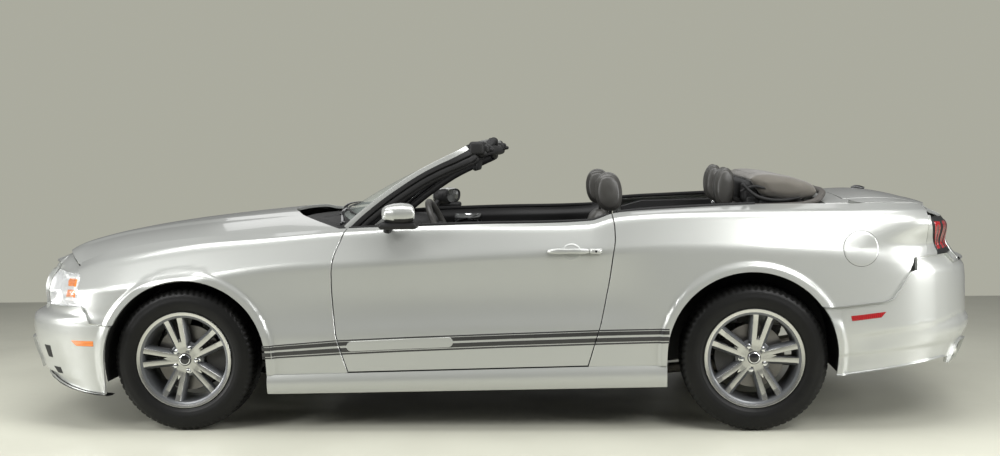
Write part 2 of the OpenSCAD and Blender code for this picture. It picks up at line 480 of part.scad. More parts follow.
// Section of the tunnel from one foot to the other, moved inwards by t
function tunnel(t) = [[-tunnel_w + t, floor_z - floor_t], [27 + t - tunnel_w, tunnel_top - 40 - t * 0.6], [65 + t * 0.5 - tunnel_w, tunnel_top - t],
  [tunnel_w - 65 - t * 0.5, tunnel_top - t], [tunnel_w - 27 - t, tunnel_top - 40 - t * 0.6], [tunnel_w - t, floor_z - floor_t]];
module floor_pan() color(trim) {
  difference() {
    bar([riser_x, -sill_in, floor_z - floor_t], [fire_x, sill_in, floor_z]);
    bar([riser_x - 1, -tunnel_w, floor_z - floor_t - 1], [fire_x + 1, tunnel_w, floor_z + 1]);
  }
  translate([riser_x, 0, 0]) rotate([90, 0, 90]) linear_extrude(fire_x - riser_x)
    polygon(concat(tunnel(0), [for (k = [5:-1:0]) tunnel(wall)[k]]));
  both() difference() {
    bar([arch_r_x + arch_r_r + 6, sill_in, floor_z - floor_t], [arch_f_x - arch_f_r - 14, door_in - 6, sill_top_z]);
    bar([arch_r_x + arch_r_r + 5, sill_in + wall, floor_z - floor_t + wall],
      [arch_f_x - arch_f_r - 13, door_in - 6 - wall, sill_top_z - wall]);
  }
  // Brackets that carry the skirts, and the lower hinge posts
  both() bar([arch_r_x + arch_r_r + 40, door_in - 6, floor_z - 10], [arch_f_x - arch_f_r - 40, half_w - 130, floor_z + 20]);
}

// Front structure: bulkhead, side aprons, rails, radiator support and wheel housings
apron_y = 490;
rail_y = [372, 452];
rail_z = [262, 372];
support_x = xf + 640;
tower_z = 862;
king_top = [xf, 575, tower_z];
king_low = [xf, 725, 215];
king = unit(king_top - king_low);
post_top = 930;
grille_x = [nose_x - 150, nose_x - 130];
lamp_back = 24;
strut_pin_r = 12;
rail_under = flange + 0.6;
fender_rail = [for (x = [post_x[1]:60:support_x]) [x, top_y(x) + 8, top_z(x) - rail_under - 12]];
module front_structure() color(trim) {
  difference() {
    union() {
      bar([fire_x, 6 - sill_in, floor_z - floor_t], [fire_x + wall, sill_in - 6, 905]);
      bar([fire_x, -door_in + 40, sill_top_z + 0.3], [fire_x + wall, door_in - 40, 905]);
      both() across([[fire_x + wall, 380], [support_x, 380], [support_x, 730], [xf + 500, 790], [xf + 300, 850],
        [fire_x + wall, 850]], apron_y, apron_y + wall);
      both() bar([fire_x + wall, rail_y[0], rail_z[0]], [support_x, rail_y[1], rail_z[1]]);
      both() bar([fire_x + wall, rail_y[1], rail_z[1] - 8], [support_x, apron_y + wall, 388]);
      difference() {
        bar([support_x, -600, 250], [support_x + 30, 600, 736]);
        bar([support_x - 1, -440, 330], [support_x + 31, 440, 700]);
      }
      both() bar([xf - 110, apron_y + wall, tower_z - 30], [xf + 110, 660, tower_z - 14]);
      // Beams that carry the bumper, the lamps and the grille
      both() bar([support_x + 30, 400, 440], [nose_x_at(430, 440) - panel_t - 2.9, 430, 500]);
      both() bar([support_x, 590, 640], [support_x + 30, 640, 700]);
      both() bar([support_x + 30, 612, 650], [nose_x_at(638 + lamp_deep[1], 650) - lamp_deep[0] - lamp_back, 638, 700]);
      both() bar([support_x + 30, 444, 560], [grille_x[0] - 24.3, 470, 600]);
      both() bar([support_x + 30, 300, 300], [grille_x[1] - 24.3, 330, 325]);
      // Door post with the hood's hinge plate, and the rail under the fender's top edge
      both() {
        bar([post_x[0], post_y[0], sill_top_z + 0.3], [post_x[1], post_y[1], post_top]);
        bar([post_x[0] - 36, post_y[0], post_top - 50], [post_x[0] + 1, 752, post_top]);
        bar([post_x[0], post_y[1] - 1, 860], [post_x[1], hood_edge + gap + 8, 905]);
        bar([hood_pin[0] - 14, hood_edge + gap + 3, 860], [hood_pin[0] + 14, hood_edge + gap + 10, hood_pin[1] + 7]);
        translate([hood_pin[0], hood_edge + gap + 5, hood_pin[1]]) rotate([90, 0, 0])
          cylinder(r = pin_r, h = gap + 17, $fn = 32);
        loft(along(fender_rail, octagon(30, 24, 0.2)));
        bar([support_x - 30, 560, 700], [support_x, top_y(support_x) + 8, 730]);
        bar([xf - 20, 640, top_z(xf) - 90], [xf + 20, top_y(xf) + 8, top_z(xf) - 60]);
        bar([fire_x, door_in - 60, 860], [fire_x + wall, door_in - 30, 905]);
        for (z = hinge_z) door_hinge(z);
      }
    }
    both() rod(king_top - 60 * king, king_top + 60 * king, strut_pin_r + 0.3);
    bar([fire_x - 1, -112, floor_z - floor_t - 1], [fire_x + wall + 1, 112, tunnel_top - 6]);
  }
  both() difference() {
    translate([arch_f_x, 898, arch_f_z]) rotate([90, 0, 0]) cylinder(r = arch_f_r + 16, h = 898 - apron_y - wall, $fn = 96);
    translate([arch_f_x, 899, arch_f_z]) rotate([90, 0, 0]) cylinder(r = arch_f_r + 13, h = 402, $fn = 96);
    bar([arch_f_x - 500, apron_y, -200], [arch_f_x + 500, 900, arch_f_z + 60]);
    bar([xf - 110, apron_y, arch_f_z], [xf + 110, 661, 900]);
  }
}

// Rear structure: bulkhead, boot tub, wheel housings and rails
tub_x = [xr - 985, xr + 46];
tub_z = 470;
kick_x = xr + 130;
seat_z = 360;
module rear_structure() color(trim) {
  difference() {
    bar([tub_x[0], -tub_y, tub_z], [tub_x[1], tub_y, 1024]);
    bar([tub_x[0] + wall, -tub_y + wall, tub_z + wall], [tub_x[1] - wall, tub_y - wall, 1025]);
    bar([tub_x[0] - 1, -tub_y - 1, 760], [lid_x - 60, tub_y + 1, 1025]);
  }
  both() difference() {
    translate([arch_r_x, 898, arch_r_z]) rotate([90, 0, 0]) cylinder(r = arch_r_r + 16, h = 900 - tub_y, $fn = 96);
    translate([arch_r_x, 899, arch_r_z]) rotate([90, 0, 0]) cylinder(r = arch_r_r + 12, h = 903 - tub_y, $fn = 96);
    bar([arch_r_x - 500, tub_y - 3, -200], [arch_r_x + 500, 900, arch_r_z + 60]);
  }
  // Step up to the rear seat, the seat's floor and the rails over the axle
  both() bar([riser_x - wall, tunnel_w - 20, floor_z - floor_t], [riser_x, tub_y, seat_z]);
  bar([kick_x, -tub_y, seat_z - wall], [riser_x, tub_y, seat_z]);
  bar([kick_x, -tub_y, seat_z - wall], [kick_x + wall, tub_y, tub_z]);
  bar([tub_x[1] - 20, -tub_y, tub_z - wall], [kick_x + wall, tub_y, tub_z + 1]);
  both() {
    bar([tub_x[0] + 60, 470, tub_z - 20], [tub_x[1] - 30, 520, tub_z + 2]);
    // Pin of the boot lid's arm, posts under the deck panel and beams to the bumper
    bar([lid_pin[0] - 20, tub_y - 12, 1000], [lid_pin[0] + 20, tub_y, lid_pin[1] + 14]);
    translate([lid_pin[0], tub_y - 4, lid_pin[1]]) rotate([90, 0, 0]) cylinder(r = pin_r, h = tub_y - arm_y + 14, $fn = 32);
    bar([deck_x - 40, tub_y - 12, 1000], [deck_x - 14, tub_y, deck_z(deck_x - 14, tub_y) - panel_t - 1]);
    bar([tail_x_at(330, 600) + panel_t - 0.4, 290, 570], [tub_x[0] + 3, 330, 620]);
  }
}

module engine() color("slategray") {
  bar([xf - 330, -210, 300], [xf + 240, 210, 800]);
  bar([xf - 300, -290, 560], [xf + 210, 290, 760]);
  rod([xf - 330, 0, 336], [fire_x - 500, 0, 315], 76);
  // Engine mounts on the rails
  both() bar([xf - 60, 210, 300], [xf + 60, rail_y[0], 360]);
}

// Windscreen frame: pillars and header as one bent tube with a flat foot at each end
pillar = [[[door_f_x - 50, 728, 955], [54, 44]], [[door_f_x - 108, 719, 1010], [50, 42]], [[door_f_x - 208, 706, 1090], [48, 40]],
  [[door_f_x - 307, 690, 1158], [46, 40]], [[door_f_x - 406, 672, 1219], [46, 40]], [[door_f_x - 505, 652, 1268], [48, 40]],
  [[door_f_x - 592, 632, 1306], [54, 40]], [[door_f_x - 648, 600, 1332], [66, 40]], [[door_f_x - 668, 550, 1344], [82, 38]],
  [[door_f_x - 655, 400, 1350], [92, 36]], [[door_f_x - 642, 200, 1355], [96, 36]]];
// The width of the tube's section lies across the pillar, and level with the glass in the header
function pillar_up(y) = [1, 0, lerp(-0.25, 0.55, clamp((abs(y) - 540) / 100))];
module windshield_frame() color(paint) {
  path = concat(pillar, [[[door_f_x - 638, 0, 1357], [96, 36]]],
    [for (k = [len(pillar) - 1:-1:0]) let(p = pillar[k]) [[p[0][0], -p[0][1], p[0][2]], p[1]]]);
  pts = [for (p = path) p[0]];
  loft([for (i = [0:len(path) - 1]) along(pts, octagon(path[i][1][1], path[i][1][0]), pillar_up(pts[i][1]))[i]]);
  both() bar([post_x[0] - 34, 706, post_top + 0.3], [post_x[0] - 12, 748, post_top + 40]);
}
// Glass between the pillars, bowed forward in its middle
glass_t = 5;
glass_in = 29;
function glass_pt(t, q) = let(i = t * 6 + 0.6, k = floor(i), p = lerp(pillar[k][0], pillar[k + 1][0], i - k),
  bow = lerp(168, 26, t) * (1 - q * q)) [p[0] + bow - 4, q * (p[1] - glass_in), p[2] + lerp(26, 8, t) * (1 - q * q) - 2];
module windshield() color([0.3, 0.34, 0.36, 0.5]) let(g = [for (k = [0:8]) [for (q = [1:-0.2:-1]) glass_pt(k / 8, q)]])
  sheet([for (r = g) [for (k = [len(r) - 1:-1:0]) r[k]]], [for (r = g) [for (k = [len(r) - 1:-1:0]) r[k] - [0, 0, glass_t]]]);
// Cowl between the hood's rear edge and the glass
cowl_y = 672;
module cowl_panel() color("black") let(g = [for (t = [0:0.25:1]) [for (q = [1:-0.2:-1])
    let(a = hood_pt(1, q), b = glass_pt(0, q * cowl_y / (pillar[0][0][1] - glass_in)))
    [lerp(a[0] - gap - 30 * (1 - q * q), b[0] - 1, t), q * cowl_y,
      lerp(min(a[2], 1010) - 22, b[2] - glass_t - 0.3, t) - 26 * sin(180 * t) * (1 - pow(q, 4))]]])
  sheet(g, inner(g, 5));

// Dashboard and console
module dashboard() color("black") {
  across([[fire_x - 0.4, 640], [fire_x - 0.4, 860], [fire_x - 110, 896], [fire_x - 260, 950], [fire_x - 440, 955],
    [fire_x - 486, 925], [fire_x - 470, 800], [fire_x - 420, 660], [fire_x - 330, 610], [fire_x - 180, 600]], -668, 668);
  // Column from the dashboard to the wheel
  rod(steer_c - 260 * steer_axis, steer_c - 46 * steer_axis, 34);
}
steer_y = 370;
steer_c = [door_f_x - 472, steer_y, 911];
steer_axis = [-cos(24), 0, sin(24)];
module console() color("black") {
  across([[fire_x - 330, tunnel_top + 0.3], [fire_x - 330, 590], [fire_x - 440, 600], [fire_x - 500, 690], [fire_x - 560, 560],
    [fire_x - 760, 540], [fire_x - 780, 600], [fire_x - 1140, 600], [fire_x - 1160, tunnel_top + 0.3]], -104, 104);
  rod([fire_x - 640, 40, 540], [fire_x - 655, 40, 640], 12);
  translate([fire_x - 655, 40, 650]) sphere(r = 26, $fn = 32);
}

// Seats: cushion, back and headrest, on two rails
seat_x = door_f_x - 1200;
seat_y = 370;
module front_seat(y, dx) color("dimgray") translate([dx, 0, 0]) {
  pillow([[seat_x - 60, 330], [seat_x + 420, 350], [seat_x + 520, 380], [seat_x + 536, 440], [seat_x + 500, 480],
    [seat_x + 300, 470], [seat_x - 50, 430]], seat_w, y, 60);
  pillow([[seat_x - 40, 432], [seat_x + 80, 452], [seat_x + 64, 560], [seat_x + 10, 720], [seat_x - 60, 900], [seat_x - 92, 1000],
    [seat_x - 150, 1006], [seat_x - 176, 960], [seat_x - 150, 760], [seat_x - 112, 520]], seat_w, y, 70);
  pillow([[seat_x - 176, 1030], [seat_x - 96, 1020], [seat_x - 60, 1060], [seat_x - 54, 1150], [seat_x - 78, 1198], [seat_x - 126, 1206],
    [seat_x - 168, 1180], [seat_x - 184, 1100]], 270, y, 40);
  for (k = [-1, 1]) {
    rod([seat_x - 122, y + k * 60, 985], [seat_x - 128, y + k * 60, 1050], 7);
    bar([seat_x - 40, y + k * 190 - 15, floor_z + seat], [seat_x + 430, y + k * 190 + 15, 352]);
  }
}
module seat_left() front_seat(seat_y, 0);
module seat_right() front_seat(-seat_y, 54);
module rear_seat() color("dimgray") {
  for (y = [-285, 285]) {
    pillow([[riser_x - 12, seat_z + 0.4], [riser_x - 4, 430], [riser_x - 24, 480], [riser_x - 300, 446],
      [kick_x + wall + 4, 420], [kick_x + wall + 4, seat_z + 0.4]], 510, y, 60);
    pillow([[riser_x - 300, 420], [riser_x - 236, 452], [riser_x - 290, 640], [riser_x - 360, 900], [riser_x - 400, 960],
      [riser_x - 452, 950], [riser_x - 440, 760], [riser_x - 402, tub_z + 12],
      [kick_x + wall + 4, tub_z + 6], [kick_x + wall + 4, 424]], 510, y, 60);
    pillow([[riser_x - 458, 1030], [riser_x - 404, 1034], [riser_x - 384, 1100], [riser_x - 396, 1180], [riser_x - 430, 1230],
      [riser_x - 468, 1204], [riser_x - 474, 1090]], 240, y + sign(y) * 45, 30);
    for (k = [-50, 50]) rod([riser_x - 424, y + sign(y) * 45 + k, 900], [riser_x - 430, y + sign(y) * 45 + k, 1050], 7);
  }
}
// Trim beside the rear seat, up to the belt line, and the shelf behind it
module cabin_trim() color("black") {
  both() across([[door_r_x - 60, sill_top_z + 0.4], [door_r_x - 60, 985], [door_r_x - 180, 1016], [xr + 20, 1022], [xr + 20, 810],
    [arch_r_x + 300, 810], [arch_r_x + 440, 640], [arch_r_x + 440, sill_top_z + 0.4]], tub_y + 20, 706);
  bar([tub_x[1] + 0.3, -540, 930], [tub_x[1] + 17, 540, 990]);
}
// Folded top: a low stack across the car behind the rear seats
module folded_top() color("dimgray") {
  p = [[xr - 338, 1090], [xr - 300, 1082], [xr - 60, 1040], [xr + 16, 1040], [xr + 30, 1110], [xr + 18, 1186], [xr - 40, 1212],
    [xr - 140, 1210], [xr - 250, 1176], [xr - 330, 1136]];
  c = sum(p) / len(p);
  loft([for (e = [[1, 0.72], [0.97, 0.88], [0.9, 1], [0.5, 1.02], [0, 1.03], [-0.5, 1.02], [-0.9, 1], [-0.97, 0.88], [-1, 0.72]])
    [for (q = p) let(w = c + (q - c) * e[1]) [w[0] - 20 * (1 - e[0] * e[0]), e[0] * 640, w[1]]]]);
  both() bar([xr - 230, 500, 1024.4], [xr - 60, tub_y - 1, 1070]);
}

// Front suspension: cross member, lower arms with their ball joints, and strut tops on the towers
ball_r = 11;
module front_suspension() color("darkslategray") {
  bar([xf - 190, -400, 180], [xf - 60, 400, 232]);
  both() {
    bar([xf - 150, 376, 220], [xf - 90, 448, rail_z[0] - 0.2]);
    loft(along([[xf - 130, 380, 205], [xf - 60, 560, 203], [xf, 716, 186]], octagon(56, 24)));
    translate(king_low - 34 * king) rotate([-atan2(king[1], king[2]), 0, 0]) {
      cylinder(r = 24, h = 18, $fn = 48);
      cylinder(r = ball_r, h = 52, $fn = 48);
    }
    // Strut top: a pin through the tower with a cap on each side of its plate
    rod(king_top - 46 * king, king_top + 26 * king, strut_pin_r);
    rod(king_top + 4 * king, king_top + 20 * king, 46, 48);
  }
}
// Steering knuckle with its strut, spindle and brake caliper
wheel_f = [xf, track_f / 2, tyre_r];
wheel_r = [xr, track_r / 2, tyre_r];
hub_face = 45;
spindle_r = 30;
module knuckle() color("darkslategray") {
  difference() {
    union() {
      hull() {
        rod(king_low + 4 * king, king_low + 44 * king, 27);
        translate([xf, 742, tyre_r]) rotate([90, 0, 0]) cylinder(r = 52, h = 40, $fn = 32);
      }
      hull() {
        translate([xf, 738, tyre_r]) rotate([90, 0, 0]) cylinder(r = 43, h = 30, $fn = 32);
        rod(king_low + 270 * king, king_low + 310 * king, 25);
      }
      rod(king_low + 280 * king, king_low + 500 * king, 24);
      rod(king_low + 490 * king, king_low + 590 * king, 20);
    }
    rod(king_low - 10 * king, king_low + 20 * king, ball_r + 0.2);
    rod(king_top - 48 * king, king_top - 2 * king, strut_pin_r + 0.2);
  }
  translate([xf, wheel_f[1] + hub_face + 34, tyre_r]) rotate([90, 0, 0]) cylinder(r = spindle_r, h = 150, $fn = 48);
  caliper(wheel_f, disc_d / 2, 30, 35, -1, 712);
}
// Caliper round the edge of a disc of radius r and thickness t, on the side of the axle given by way
disc_gap = 5;
module caliper(c, r, t, back, way, arm_y) {
  y1 = c[1] + hub_face - back;
  translate([c[0], 0, c[2]]) difference() {
    intersection() {
      translate([0, y1 + 32, 0]) rotate([90, 0, 0]) cylinder(r = r + 30, h = t + 2 * 32, $fn = 64);
      translate([way > 0 ? r - 62 : -r - 60, y1 - t - 40, -75]) cube([122, t + 80, 150]);
    }
    translate([0, y1 + disc_gap, 0]) rotate([90, 0, 0]) cylinder(r = r + disc_gap, h = t + 2 * disc_gap, $fn = 64);
  }
  bar([way > 0 ? c[0] + 20 : c[0] - r - 20, arm_y, c[2] - 22], [way > 0 ? c[0] + r + 20 : c[0] - 20, y1 - t - 20, c[2] + 22]);
}
module knuckle_left() knuckle();
module knuckle_right() mirror([0, 1, 0]) knuckle();

// Rear axle: tube, differential, springs, dampers and trailing links
shaft_z = 300;
module rear_axle() color("darkslategray") {
  rod([xr, -wheel_r[1] + 60, tyre_r], [xr, wheel_r[1] - 60, tyre_r], 38, 48);
  translate([xr, 110, tyre_r]) rotate([90, 0, 0]) cylinder(r = 98, h = 220, $fn = 64);
  rod([xr, 0, tyre_r - 10], [xr + 160, 0, shaft_z], 46, 48);
  rod([xr + 150, 0, shaft_z], [fire_x - 502, 0, 313], 32);
  both() {
    rod([xr, 495, tyre_r + 20], [xr, 495, tub_z - 20.3], 56, 48);
    rod([xr - 90, 515, tyre_r - 40], [xr - 90, 515, tub_z - 20.3], 22);
    bar([xr - 110, 490, tyre_r - 60], [xr, 540, tyre_r + 20]);
    rod([xr, 440, tyre_r - 20], [riser_x - wall - 2.4, 430, 290], 20);
    translate([xr, wheel_r[1] + hub_face + 34, tyre_r]) rotate([90, 0, 0]) cylinder(r = spindle_r, h = 150, $fn = 48);
    caliper(wheel_r, 150, 19, 35, 1, 728);
  }
}
// Exhaust: two pipes to silencers under the tail, with a bright tip each side
tip_r = 36;
tip_z = 350;
tip_x = tail_x + 130;
pipe_r = 27;
pipe_z = floor_z - floor_t - pipe_r - 8;
module exhaust() color("silver") {
  loft(along([[xf - 180, 236, 290], [xf - 380, 236, 230], [xf - 560, 205, pipe_z], [xf - 700, 190, pipe_z],
    [riser_x - 60, 190, pipe_z], [xr + 330, 190, 184], [xr, 240, 214], [xr - 330, 330, 250], [xr - 480, 430, 322]],
    [for (a = [0:30:330]) pipe_r * [cos(a), sin(a)]]));
  difference() {
    union() {
      rod([xr - 450, 425, 322], [xr - 450 - 240, 600, 322], 70, 48);
      rod([xr - 660, 600, tip_z], [tip_x, 600, tip_z], tip_r, 48);
      bar([xr - 640, 480, 380], [xr - 600, 520, tub_z - 20.3]);
    }
    rod([tip_x - 1, 600, tip_z], [tip_x + 120, 600, tip_z], tip_r - 3, 48);
  }
}
module exhaust_left() exhaust();
module exhaust_right() mirror([0, 1, 0]) exhaust();

// Steering wheel: rim, three spokes, boss and the end of its shaft
module steering_wheel() color("black") translate(steer_c) rotate([0, -90 + 24, 0]) {
  rotate_extrude($fn = 96) translate([steer_d / 2 - 16, 0]) circle(r = 16, $fn = 24);
  for (a = [90, -90, 180]) rotate([0, 0, a]) translate([0, -20, -22]) cube([steer_d / 2 - 20, 40, 14]);
  translate([0, 0, -34]) cylinder(r = 78, h = 34, $fn = 64);
  translate([0, 0, -45.7]) cylinder(r = 22, h = 20, $fn = 32);
}

// Wheels
module at_wheel(c) translate(c) rotate([-90, 0, 0]) children();
tyre_half = tyre_w / 2;
rim_half = tyre_half - 9;
function arc(c, r, a0, a1, n = 5) = [for (k = [0:n]) let(a = lerp(a0, a1, k / n)) c + r * [cos(a), sin(a)]];
module tyre() color([0.12, 0.12, 0.12]) rotate_extrude($fn = 128) polygon(concat(
  arc([tyre_r - 30, tyre_half - 34], 26, 8, 60, 3), arc([tyre_r - 52, tyre_half - 62], 62, 60, 120, 4),
  [[rim_d / 2 + 3, tyre_half - 11], [rim_d / 2 + 3, rim_half - 12.3], [rim_d / 2 - 18, rim_half - 12.3],
    [rim_d / 2 - 18, 12.3 - rim_half], [rim_d / 2 + 3, 12.3 - rim_half], [rim_d / 2 + 3, 11 - tyre_half]],
  arc([tyre_r - 52, 62 - tyre_half], 62, 240, 300, 4), arc([tyre_r - 30, 34 - tyre_half], 26, 300, 352, 3),
  [[tyre_r, 60 - tyre_half], [tyre_r, tyre_half - 60]]));
bead_r = rim_d / 2 - 18.3;
bore_r = spindle_r + 0.3;
module rim(turn) color("silver") {
  rotate_extrude($fn = 96) polygon([[bead_r, -rim_half + 16], [bead_r, rim_half - 16], [bead_r + 0, rim_half - 12],
    [rim_d / 2 - 8, rim_half - 12], [rim_d / 2, rim_half - 6], [rim_d / 2 - 4, rim_half], [bead_r - 12, rim_half - 4],
    [bead_r - 12, -rim_half + 4], [rim_d / 2 - 4, -rim_half], [rim_d / 2, -rim_half + 6], [rim_d / 2 - 8, -rim_half + 12],
    [bead_r, -rim_half + 12]]);
  difference() {
    union() {
      translate([0, 0, hub_face + 2]) cylinder(r = 84, h = 36, $fn = 64);
      for (k = [1:spoke_pairs], side = [-1, 1]) rotate([0, 0, turn + 360 * k / spoke_pairs + side * 10])
        translate([70, -14, hub_face + 8]) cube([bead_r - 78, 28, 34]);
    }
    translate([0, 0, hub_face]) cylinder(r = bore_r, h = 60, $fn = 48);
  }
}
module disc(r, t) color("gray") difference() {
  union() {
    translate([0, 0, hub_face - 35 - t]) cylinder(r = r, h = t, $fn = 96);
    translate([0, 0, hub_face - 35 - t / 2]) cylinder(r = 78, h = 35 + t / 2 + 1.7, $fn = 64);
  }
  translate([0, 0, -40]) cylinder(r = bore_r, h = 120, $fn = 48);
}
module tyre_front_left() at_wheel(wheel_f) tyre();
module tyre_front_right() mirror([0, 1, 0]) tyre_front_left();
module tyre_rear_left() at_wheel(wheel_r) tyre();
module tyre_rear_right() mirror([0, 1, 0]) tyre_rear_left();
module rim_front_left() at_wheel(wheel_f) rim(-105);
module rim_front_right() mirror([0, 1, 0]) rim_front_left();
module rim_rear_left() at_wheel(wheel_r) rim(-78);
module rim_rear_right() mirror([0, 1, 0]) rim_rear_left();
module disc_front_left() at_wheel(wheel_f) disc(disc_d / 2, 30);
module disc_front_right() mirror([0, 1, 0]) disc_front_left();
module disc_rear_left() at_wheel(wheel_r) disc(150, 19);
module disc_rear_right() mirror([0, 1, 0]) disc_rear_left();

floor_pan();
front_structure();
rear_structure();
engine();
front_bumper();
rear_bumper();
fender_left();
fender_right();
quarter_left();
quarter_right();
side_skirts();
grille();
headlamps();
tail_lamps();
windshield_frame();
windshield();
cowl_panel();
deck_panel();
cabin_trim();
dashboard();
console();
seat_left();
seat_right();
rear_seat();
folded_top();
front_suspension();
rear_axle();
exhaust_left();
exhaust_right();
door_left();
door_right();
mirror_left();
mirror_right();
hood();
trunk_lid();
steering_wheel();
knuckle_left();
knuckle_right();
tyre_front_left();
tyre_front_right();
tyre_rear_left();
tyre_rear_right();
rim_front_left();
rim_front_right();
rim_rear_left();
rim_rear_right();
disc_front_left();
disc_front_right();
disc_rear_left();
disc_rear_right();
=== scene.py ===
import bpy
import bmesh
import math
import numpy as np
from mathutils import Matrix, Vector
from mathutils.bvhtree import BVHTree


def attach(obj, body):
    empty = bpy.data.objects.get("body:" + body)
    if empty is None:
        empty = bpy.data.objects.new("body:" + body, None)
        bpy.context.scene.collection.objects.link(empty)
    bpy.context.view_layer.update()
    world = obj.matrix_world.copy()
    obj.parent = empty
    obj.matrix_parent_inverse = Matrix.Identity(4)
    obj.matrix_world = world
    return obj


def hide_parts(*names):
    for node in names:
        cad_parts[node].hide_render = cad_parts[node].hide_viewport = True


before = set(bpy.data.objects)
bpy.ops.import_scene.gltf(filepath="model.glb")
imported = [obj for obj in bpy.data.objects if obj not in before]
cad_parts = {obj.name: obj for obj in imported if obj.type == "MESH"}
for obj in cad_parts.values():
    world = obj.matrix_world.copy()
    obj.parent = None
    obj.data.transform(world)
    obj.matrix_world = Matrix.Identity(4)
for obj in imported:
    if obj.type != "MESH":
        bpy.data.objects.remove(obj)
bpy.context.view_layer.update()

# Camera, lamps, floor and the grey surroundings. The car is seen from its left side from standing height,
# with its nose to the left of the picture. The floor ends a few metres behind the car.
MM = 0.001
PICTURE = (1000, 456)
LENS_PX = 1353.1
CAMERA_AT = (-0.5818, 7.2227, 1.3931)
YAW, PITCH, ROLL = 0.07625, 0.06697, -0.016136


def place_camera():
    forward = Vector((math.sin(YAW) * math.cos(PITCH), -math.cos(YAW) * math.cos(PITCH), -math.sin(PITCH)))
    right = forward.cross(Vector((0, 0, 1))).normalized()
    up = right.cross(forward)
    turned_right = right * math.cos(ROLL) + up * math.sin(ROLL)
    turned_up = up * math.cos(ROLL) - right * math.sin(ROLL)
    camera_data = bpy.data.cameras.new("camera")
    camera_data.sensor_fit = "HORIZONTAL"
    camera_data.angle = 2 * math.atan(PICTURE[0] / 2 / LENS_PX)
    camera_data.clip_end = 200
    camera = bpy.data.objects.new("camera", camera_data)
    bpy.context.scene.collection.objects.link(camera)
    turn = Matrix((turned_right, turned_up, -forward)).transposed().to_4x4()
    camera.matrix_world = Matrix.Translation(CAMERA_AT) @ turn
    bpy.context.scene.camera = camera


place_camera()
bpy.context.scene.view_settings.view_transform = "Standard"


class Socket:
    """A shader socket that takes part in Python arithmetic."""

    def __init__(self, tree, out):
        self.tree, self.out = tree, out

    def math(self, operation, other=None, swapped=False):
        node = self.tree.nodes.new("ShaderNodeMath")
        node.operation = operation
        pair = (other, self) if swapped else (self, other)
        for place, value in enumerate(pair):
            if isinstance(value, Socket):
                self.tree.links.new(value.out, node.inputs[place])
            elif value is not None:
                node.inputs[place].default_value = value
        return Socket(self.tree, node.outputs[0])

    def __add__(self, other):
        return self.math("ADD", other)

    __radd__ = __add__

    def __sub__(self, other):
        return self.math("SUBTRACT", other)

    def __rsub__(self, other):
        return self.math("SUBTRACT", other, swapped=True)

    def __mul__(self, other):
        return self.math("MULTIPLY", other)

    __rmul__ = __mul__

    def sin(self):
        return self.math("SINE")


class Finish:
    """A material with one Principled shader, and the few nodes that vary it over the surface."""

    def __init__(self, name, colour, roughness, metallic=0.0, **shader):
        self.material = bpy.data.materials.new(name)
        self.material.use_nodes = True
        self.tree = self.material.node_tree
        self.shader = self.tree.nodes["Principled BSDF"]
        self.shader.inputs["Base Color"].default_value = (*colour, 1)
        self.shader.inputs["Roughness"].default_value = roughness
        self.shader.inputs["Metallic"].default_value = metallic
        for key, value in shader.items():
            self.shader.inputs[key.replace("_", " ")].default_value = value

    def node(self, kind, **sockets):
        made = self.tree.nodes.new(kind)
        for key, value in sockets.items():
            socket = made.inputs[key.replace("_", " ")]
            if isinstance(value, Socket):
                self.tree.links.new(value.out, socket)
            else:
                socket.default_value = value
        return made

    def coords(self):
        return Socket(self.tree, self.node("ShaderNodeTexCoord").outputs["Object"])

    def axes(self):
        parts = self.node("ShaderNodeSeparateXYZ", Vector=self.coords())
        return [Socket(self.tree, parts.outputs[k]) for k in range(3)]

    def noise(self, scale, detail):
        made = self.node("ShaderNodeTexNoise", Vector=self.coords(), Scale=scale, Detail=detail)
        return Socket(self.tree, made.outputs["Fac"])

    def cells(self, scale):
        made = self.node("ShaderNodeTexVoronoi", Vector=self.coords(), Scale=scale)
        return Socket(self.tree, made.outputs["Distance"])

    def mix(self, share, first, second):
        made = self.tree.nodes.new("ShaderNodeMix")
        made.data_type = "RGBA"
        for socket, value in ((made.inputs[0], share), (made.inputs[6], first), (made.inputs[7], second)):
            if isinstance(value, Socket):
                self.tree.links.new(value.out, socket)
            else:
                socket.default_value = value if not isinstance(value, tuple) or len(value) == 4 else (*value,
                    1)
        return Socket(self.tree, made.outputs[2])

    def feed(self, socket, value):
        self.tree.links.new(value.out, self.shader.inputs[socket])

    def rough(self, scale, detail, spread, least):
        """Roughness that wanders from its least value up by its spread."""
        self.feed("Roughness", self.noise(scale, detail) * spread + least)

    def tint(self, scale, detail, dark, light):
        """A base colour that wanders between two tones."""
        self.feed("Base Color", self.mix(self.noise(scale, detail), dark, light))

    def bump(self, height, distance, strength=1.0):
        made = self.node("ShaderNodeBump", Height=height, Distance=distance, Strength=strength)
        self.tree.links.new(made.outputs["Normal"], self.shader.inputs["Normal"])


def soft_lamp(name, at, towards, size, watts):
    data = bpy.data.lights.new(name, "AREA")
    data.shape = "RECTANGLE"
    data.size, data.size_y = size
    data.energy = watts
    lamp = bpy.data.objects.new(name, data)
    bpy.context.scene.collection.objects.link(lamp)
    aim = (Vector(towards) - Vector(at)).to_track_quat("-Z", "Y")
    lamp.matrix_world = Matrix.Translation(at) @ aim.to_matrix().to_4x4()


